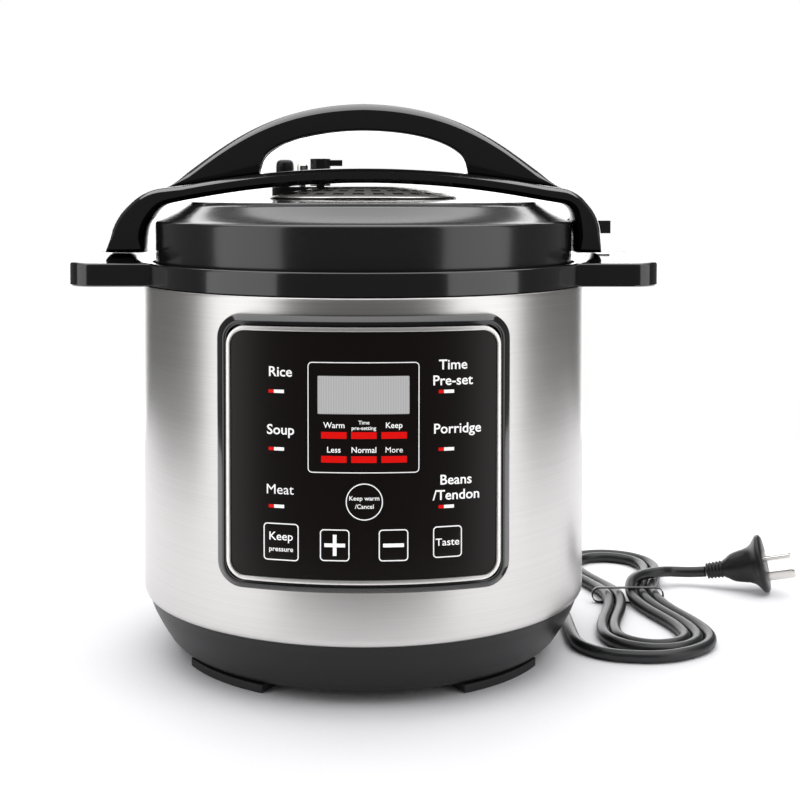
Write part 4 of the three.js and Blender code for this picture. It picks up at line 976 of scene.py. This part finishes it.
# Places across and up the panel, as points in space at that depth under its front.
def onPanel(x, z, depth):
    x, z = np.asarray(x, float), np.asarray(z, float)
    return np.stack([x, frontAt(x, depth), z + panelSet["level"]], -1)


# A frame on the panel. stations give how far in and how deep each point of its closed section is.
def panelFrame(name, size, stations, material, nodes):
    rings = [onPanel(*shrunk(size, by).T, depth) for by, depth in stations]
    faces = gridFaces(len(rings), len(rings[0]), True, True)
    return weld(newPiece(name, np.vstack(rings), faces, material, "root", nodes), panelSet["fine"])


# The rounded rectangle drawn in all round, its corner with it, and always with as many points: ten on each
# corner and twenty along each side.
def shrunk(size, by):
    width, height, corner = size
    c = max(corner - by, 0.6)
    arcs = roundedBox(width - 2 * by, height - 2 * by, c, 9).reshape(4, 10, 2)
    t = np.linspace(0, 1, 22)[1:-1, None]
    parts = []
    for arc, following in zip(arcs, np.roll(arcs, -1, 0)):
        parts += [arc, arc[-1] + (following[0] - arc[-1]) * t]
    return np.vstack(parts)


# Bezel: wall at the body, a sloped chamfer to the front, a shallow groove, and the ledge under the film.
panelFrame("panelBezel", panelSet["bezel"], [
    (0.0, 13.0), (0.0, 4.4), (0.25, 3.7), (0.8, 3.1), (2.6, 1.2), (3.1, 0.75), (3.7, 0.6), (4.2, 0.7),
    (4.3, 1.1), (4.9, 1.1), (5.0, 0.9), (5.1, 0.9), (5.1, 5.2), (7.0, 5.2), (7.0, 13.0)],
    glossPlastic, ("panel_bezel",))

# Trim: a flat strip with round edges, standing just proud of the front.
panelFrame("panelTrim", panelSet["trim"], [
    (0.05, 2.0), (0.05, -0.05), (0.12, -0.25), (0.35, -0.38), (0.8, -0.42), (1.5, -0.42), (1.95, -0.38),
    (2.18, -0.25), (2.25, -0.05), (2.25, 2.0)], satinTrim, ("panel_trim",))

# Node, body, middle across, middle height, width and height of each key on the panel.
keysSet = {
    "keepPressureKey": ("key_keep_pressure", "keep_pressure_key", -42.0, -44.5, 18.7, 19.7),
    "plusKey": ("key_plus", "plus_key", -14.6, -45.2, 15.6, 16.8),
    "minusKey": ("key_minus", "minus_key", 15.2, -45.2, 15.6, 16.8),
    "tasteKey": ("key_taste", "taste_key", 42.8, -44.4, 15.5, 16.7),
}
cancelSet = (0.4, -23.0, 9.65)  # across, height and radius
displaySet = (0.0, 31.1, 46.6, 19.4)  # across, height, width and height of the glass
keyShape = {"depth": 0.1, "thickness": 10.2, "dome": 0.12, "cancelDome": 0.15, "room": 0.15}


# The printed film: a rounded rectangle with holes for the keys and display, bent to the panel's curve.
def filmPiece():
    s, room = panelSet, 2 * keyShape["room"]
    outline = subdivided(shrunk(s["trim"], s["filmEdge"]), 4.0)
    holes = [subdivided(roundedBox(w + room, h + room, 2.3, 5, x, z), 2.0)
             for _, _, x, z, w, h in keysSet.values()]
    x, z, w, h = displaySet
    holes += [circle(cancelSet[2] + keyShape["room"], 72, *cancelSet[:2]),
              subdivided(roundedBox(w + 0.1, h + 0.1, 0.6, 3, x, z), 2.0)]
    verts, tris = filledPlan([outline, *holes], 4.0)
    sheets = [onPanel(*verts.T, depth) for depth in (s["film"], s["filmBack"])]
    piece = newPiece("panelFilm", np.vstack(sheets), plateFaces(tris, len(verts)), panelFilm, "root",
                     ("panel_face",))
    return weld(piece, s["fine"])


filmPiece()


# A pad on the panel: its edge is rounded over, and its middle stands proud by dome. The rise is about one
# less the squared share of the way out.
def domedPad(name, outline, material, body, nodes, depth, thickness, dome):
    centre, n = outline.mean(0), len(outline)
    stations = [(1.0, thickness), (1.0, 0.30), (0.985, 0.12), (0.955, 0.02), (0.9, -dome * 0.2),
                (0.7, -dome * 0.5), (0.45, -dome * 0.8), (0.2, -dome), (0.05, -dome)]
    rings = [onPanel(*(centre + (outline - centre) * share).T, depth + drop) for share, drop in stations]
    flat = np.vstack([*rings, onPanel(centre[:1], centre[1:], depth - dome)])
    last = (len(rings) - 1) * n
    faces = gridFaces(len(rings), n, False, True).tolist()
    faces += [[last + k, last + (k + 1) % n, last + n] for k in range(n)] + [list(range(n))[::-1]]
    return weld(newPiece(name, flat, faces, material, body, nodes), panelSet["fine"])


for pieceName, (node, body, x, z, w, h) in keysSet.items():
    domedPad(pieceName, roundedBox(w, h, 2.2, 6, x, z), panelFilm, body, (node,),
             keyShape["depth"], keyShape["thickness"], keyShape["dome"])
domedPad("cancelKey", circle(cancelSet[2], 64, *cancelSet[:2]), panelFilm, "cancel_key",
         ("key_cancel",), keyShape["depth"], keyShape["thickness"], keyShape["cancelDome"])
x, z, w, h = displaySet
domedPad("displayWindow", subdivided(roundedBox(w, h, 0.5, 3, x, z), 1.5), displayGreyPaintedGlow, "root",
         ("display_window",), 0.35, 1.4, 0.0)
print("panel made")


# The ink stands lift over the depth it is printed at, and goes thick under it. programme and level are the
# heights of capital letters.
inkSet = {"lift": 0.04, "thick": 0.05, "onFilm": 0.4, "onKeys": -0.02, "programme": 5.0, "level": 2.9}


# Flat printing laid on the panel's curve: faces in panel x and z, set just proud of the surface.
def inkPiece(name, parts, body, depth, material=whiteInkPaintedGlow):
    verts, faces = merged(parts)
    sheets = [onPanel(*verts.T, depth + step) for step in (-inkSet["lift"], inkSet["thick"])]
    return newPiece(name, np.vstack(sheets), plateFaces(faces, len(verts)), material, body, (), False)


# Several flat figures as one: their points, and their faces counted on.
def merged(parts):
    verts, faces, start = [], [], 0
    for points, figure in parts:
        verts.append(points)
        faces += [[k + start for k in face] for face in figure]
        start += len(points)
    return np.vstack(verts), faces


# A band of that width inside an outline.
def outlineBand(outline, width):
    inner = inset(outline, width)
    n = len(outline)
    return np.vstack([outline, inner]), [[k, (k + 1) % n, n + (k + 1) % n, n + k] for k in range(n)]


# A small plain rectangle, cut across so that it can follow the curve.
def block(x, z, width, height):
    xs = np.linspace(x - width / 2, x + width / 2, max(2, int(width / 2) + 1))
    n = len(xs)
    verts = np.vstack([np.column_stack([xs, np.full(n, z + side * height / 2)]) for side in (-1, 1)])
    return verts, [[k, k + 1, n + k + 1, n + k] for k in range(n - 1)]


# Lettering in the built-in font, cap height in millimetres, made into mesh and centred at a place on the
# panel. weight thickens the strokes, as a share of the letter size. A capital M fills up when it is
# thickened, so words with one aren't.
def words(text, x, z, height, weight=0.012, width=None):
    data = bpy.data.curves.new("wordsDraft", "FONT")
    data.body, data.align_x, data.size = text, "CENTER", 1.0
    data.offset = 0 if "M" in text else weight
    data.resolution_u, data.fill_mode = 3, "FRONT"
    draft = bpy.data.objects.new("wordsDraft", data)
    bpy.context.scene.collection.objects.link(draft)
    bpy.context.view_layer.update()
    mesh = bpy.data.meshes.new_from_object(draft.evaluated_get(bpy.context.evaluated_depsgraph_get()))
    points = np.zeros(len(mesh.vertices) * 3)
    mesh.vertices.foreach_get("co", points)
    points = points.reshape(-1, 3)[:, :2]
    faces = [list(p.vertices) for p in mesh.polygons]
    bpy.data.objects.remove(draft)
    bpy.data.meshes.remove(mesh)
    points = points * (height / 0.70)  # capitals are taken as 0.70 of the font's size
    if width is not None:
        points[:, 0] *= width / np.ptp(points[:, 0])
    middle = (points[:, 0].max() + points[:, 0].min()) / 2
    return points - [middle, 0] + [x, z - height / 2], faces


# Lines of words, where across, the height of each line's middle, and where its lamp bar is.
programmes = [
    (("Rice",), -42.2, (42.6,), -44.4, 32.4), (("Soup",), -42.2, (13.0,), -44.4, 3.0),
    (("Meat",), -42.4, (-17.6,), -44.4, -26.4), (("Time", "Pre-set"), 45.6, (46.2, 38.2), 42.1, 32.4),
    (("Porridge",), 48.0, (13.6,), 42.1, 3.0), (("Beans", "/Tendon"), 47.2, (-12.6, -20.4), 42.1, -26.4),
]
letters, redBars, whiteBars = [], [], []
for lines, x, levels, lampX, lampZ in programmes:
    for line, z in zip(lines, levels):
        letters.append(words(line, x, z, inkSet["programme"], 0.014))
    redBars.append(block(lampX - 2.7, lampZ, 2.5, 1.7))
    whiteBars.append(block(lampX + 1.4, lampZ, 5.2, 1.7))

frameOutline = subdivided(roundedBox(56.6, 56.3, 2.2, 5, 0, 19.65), 2.0)
letters.append(outlineBand(frameOutline, 0.45))
for column, (upper, lower) in zip((-15.0, 0.2, 15.5), (("Warm", "Less"), (None, "Normal"), ("Keep", "More"))):
    redBars += [block(column, 10.7, 12.9, 3.4), block(column, -1.5, 12.9, 3.4)]
    if upper:
        letters.append(words(upper, column, 15.9, inkSet["level"]))
    letters.append(words(lower, column, 3.4, inkSet["level"]))
letters += [words("Time", 0.2, 17.3, 1.9), words("pre-setting", 0.2, 14.5, 1.9, width=12.4)]
inkPiece("panelPrinting", letters, "root", inkSet["onFilm"])
inkPiece("lampBars", redBars, "root", inkSet["onFilm"] - 0.04, redLensPaintedGlow)
inkPiece("lampBarsUnlit", whiteBars, "root", inkSet["onFilm"] - 0.02)

for pieceName, (node, body, x, z, w, h) in keysSet.items():
    parts = [outlineBand(roundedBox(w - 0.6, h - 0.6, 2.0, 6, x, z), 0.55)]
    if pieceName == "keepPressureKey":
        parts += [words("Keep", x, z + 3.0, 4.2, 0.008), words("pressure", x, z - 3.6, 2.5)]
    if pieceName == "plusKey":
        parts += [block(x, z, 10.6, 1.9), block(x, z + 3.2, 1.9, 4.4), block(x, z - 3.2, 1.9, 4.4)]
    if pieceName == "minusKey":
        parts += [block(x, z, 10.6, 1.9)]
    if pieceName == "tasteKey":
        parts += [words("Taste", x, z, 3.7, 0.008, 12.2)]
    inkPiece(pieceName + "Printing", parts, body, inkSet["onKeys"])
x, z, r = cancelSet
cancelParts = [outlineBand(circle(r - 0.25, 64, x, z), 0.5), words("Keep warm", x, z + 1.9, 2.2, width=15.2),
               words("/Cancel", x, z - 2.3, 2.2)]
inkPiece("cancelKeyPrinting", cancelParts, "cancel_key", inkSet["onKeys"])
print("printing made")

# blocks is how many go round, in rings that far apart between the two pattern radii. deck is the box in x and
# y that the valve deck takes.
badgeSet = {"inner": 20.0, "outer": 56.7, "above": 1.15, "turnedDown": 0.5, "wall": 0.5, "sides": 360,
            "blocks": 26, "ring": 9.2, "patternInner": 30.0, "patternOuter": 52.0,
            "deck": ((-61, -15), (35, 61))}


# A thin ring laid on the dome: its height follows the dome's parabola, and its two rims are turned down. It
# is notched for the valve deck by leaving out the cells that touch the deck's box.
def badgePiece():
    s = badgeSet
    r = np.concatenate([[s["inner"], s["inner"] + 0.4], np.linspace(s["inner"] + 2, s["outer"] - 1, 26),
                        [s["outer"] - 0.3, s["outer"]]])
    h = domeHeight(r) + s["above"]
    h[[0, -1]] -= s["turnedDown"]
    points = turnedGrid(np.column_stack([r, h + lidSet["datum"]]), s["sides"])
    (west, east), (south, north) = s["deck"]
    x, y = points[..., 0], points[..., 1]
    inDeck = (x > west) & (x < east) & (y > south) & (y < north)
    cell = inDeck[:-1] | inDeck[1:]
    faces = gridFaces(len(r), s["sides"], False, True, ~(cell | np.roll(cell, -1, 1)))
    piece = newPiece("coverPlate", points, faces, badgeMaterial(s), "lid", ("lid_badge",))
    return outwards(solidify(piece, s["wall"]))


badgePiece()

capSet = {"place": (-50, 48, 0), "ribs": 18, "ribDepth": 0.06}


# Grip ribs: on the stations of the upper knob the radius loses a share of the depth by a cosine of the angle.
def capRibs(angle, station):
    s = capSet
    return 1 - s["ribDepth"] * (0.5 - 0.5 * np.cos(s["ribs"] * angle)) * ((station > 3) & (station < 9))


capProfile = [(0, 272.9), (4.6, 272.9), (5.3, 273.2), (5.6, 274.0), (5.6, 276.2), (5.2, 276.8),
              (5.2, 277.6), (5.6, 278.2), (5.6, 285.6), (5.4, 287.2), (4.8, 288.6), (3.6, 289.3),
              (2.4, 289.5), (2.0, 289.1), (1.8, 288.2), (0, 288.0)]
turnedPiece("steamVentCap", capProfile, satinPlastic, "vent_cap", ("steam_vent_cap",), 64,
            capRibs, lambda points: points + capSet["place"])

# The pot: a flat floor, a soft foot, a straight wall and a rolled rim, then down its inside.
potProfile = [(0, 58.0), (90, 58.0), (100, 58.6), (105, 60.6), (108.6, 64.6), (110.4, 70.0), (111, 76),
              (111, 222.6), (111.2, 224.4), (112.0, 225.6), (113.4, 226.1), (116.6, 226.2), (117.3, 226.5),
              (117.6, 227.1), (117.3, 227.7), (116.6, 228.0), (112.2, 228.0), (110.6, 227.4), (109.7, 226.2),
              (109.5, 224.4), (109.5, 76), (108.9, 70.6), (107.3, 65.8), (104.2, 62.0), (99.6, 60.1),
              (90, 59.5), (0, 59.5)]
turnedPiece("innerPot", potProfile, drawnSteel, "pot", ("inner_pot",), 200)

# The seal: a round edged ring with a groove in its inner side.
sealProfile = [(108.3, 228.6), (112.8, 228.3), (119.0, 228.5), (120.0, 229.3), (120.0, 235.3), (119.2, 236.2),
               (116.0, 236.3), (109.4, 236.1), (108.3, 235.2), (108.0, 234.0), (109.0, 232.6), (112.6, 232.2),
               (113.2, 231.4), (112.4, 230.6), (109.0, 230.0)]
turnedPiece("sealingRing", sealProfile, silicone, "inner_lid", ("sealing_ring",), 200)

# These CAD pieces are shown as they are, with their edges eased.
for nodeName, ease in [("valve_deck", 0.8), ("lid_fin", 0.6), ("release_lever", 0.5), ("float_pin", 0.3),
                       ("vent_pipe", 0.3), ("condensate_cup", 0.7), ("cup_pocket", 0.5), ("cord_gland", 0.4),
                       ("lid_hub", 0.4), ("lid_plate", 0.3)]:
    finishEdges(frame["nodes"][nodeName], ease, 3, 40)
print("small parts made")

finishOfSlot = {
    "brushed_steel": brushedSteel, "steel": drawnSteel, "aluminium": castAluminium, "nickel": nickelPlate,
    "gloss_black": glossPlastic, "satin_black": satinPlastic, "lid_enamel": paintedSteel,
    "silver_trim": satinTrim, "panel_film": panelFilm, "display": displayGreyPaintedGlow, "board": boardMaterial,
    "smoked": smokedPlastic, "silicone": silicone, "rubber": footRubber, "cord": cordSheath,
}
slotOfNode = {part["node"]: part["material_slot"] for part in frame["record"]["subparts"]}
for name, node in frame["nodes"].items():
    if node.hide_render:
        continue
    node.data.materials.clear()
    node.data.materials.append(finishOfSlot[slotOfNode[name]])
    node.data.polygons.foreach_set("use_smooth", np.ones(len(node.data.polygons), bool))
    node.data.set_sharp_from_angle(angle=math.radians(32))
print("kept CAD pieces finished")

# The floor's reach in X and Y in metres, and the room's strength as it is seen and as it lights.
studioSet = {"floor": ((-0.7, 0.8), (-0.3, 0.65)), "seen": 1.0, "fill": 0.15}
# Each light's place, aim, size and power. The tall boxes at the sides make the steel's light bands.
lightsSet = {
    "leftBox": ((-1.25, -0.66, 0.0), (0, 0, 0.0), (1.05, 2.6), 13),
    "rightBox": ((1.25, -0.70, 0.0), (0, 0, 0.0), (1.05, 2.6), 13),
    "behind": ((0, 1.9, 0.2), (0, 0, 0.2), (2.2, 2.4), 42),
    "overhead": ((0.05, 0.1, 1.7), (0.05, 0.1, 0.0), (3.0, 2.4), 52),
}


# A rectangular area light turned to look at a point.
def softLight(name, place, aim, size, power):
    data = bpy.data.lights.new(name, "AREA")
    data.shape, data.size, data.size_y, data.energy = "RECTANGLE", *size, power
    lamp = bpy.data.objects.new(name, data)
    bpy.context.scene.collection.objects.link(lamp)
    lamp.location = place
    lamp.rotation_euler = (Vector(aim) - Vector(place)).to_track_quat("-Z", "Y").to_euler()
    return lamp


lamps = {name: softLight(name, *values) for name, values in lightsSet.items()}
lamps["behind"].visible_camera = False

print("lights set:", len(lamps))

bpy.context.scene.view_settings.view_transform = "Standard"  # white stays white
world = bpy.data.worlds.new("paleStudio")
bpy.context.scene.world = world
world.use_nodes = True
# The room is white where it is looked at, and dimmer as a light, so that black plastic stays black.
sky = world.node_tree.nodes["Background"]
sky.inputs["Color"].default_value = linear("#ffffff")
path = addNode(world.node_tree, "ShaderNodeLightPath")
strength = addNode(world.node_tree, "ShaderNodeMapRange",
                   {"To Min": studioSet["fill"], "To Max": studioSet["seen"]},
                   {"Value": path.outputs["Is Camera Ray"]})
world.node_tree.links.new(strength.outputs["Result"], sky.inputs["Strength"])

floorMesh = bpy.data.meshes.new("studioFloor")
(west, east), (south, north) = studioSet["floor"]
floorCorners = [(west, south, 0), (east, south, 0), (east, north, 0), (west, north, 0)]
floorMesh.from_pydata(floorCorners, [], [(0, 1, 2, 3)])
floor = bpy.data.objects.new("studioFloor", floorMesh)
bpy.context.scene.collection.objects.link(floor)
# Seamless paper: matt white with a barely visible tooth.
floorMesh.materials.append(patterned("seamlessPaper", "#fbfafc", "#f6f5f8", 0.8, 0.04, 2, 0.02))
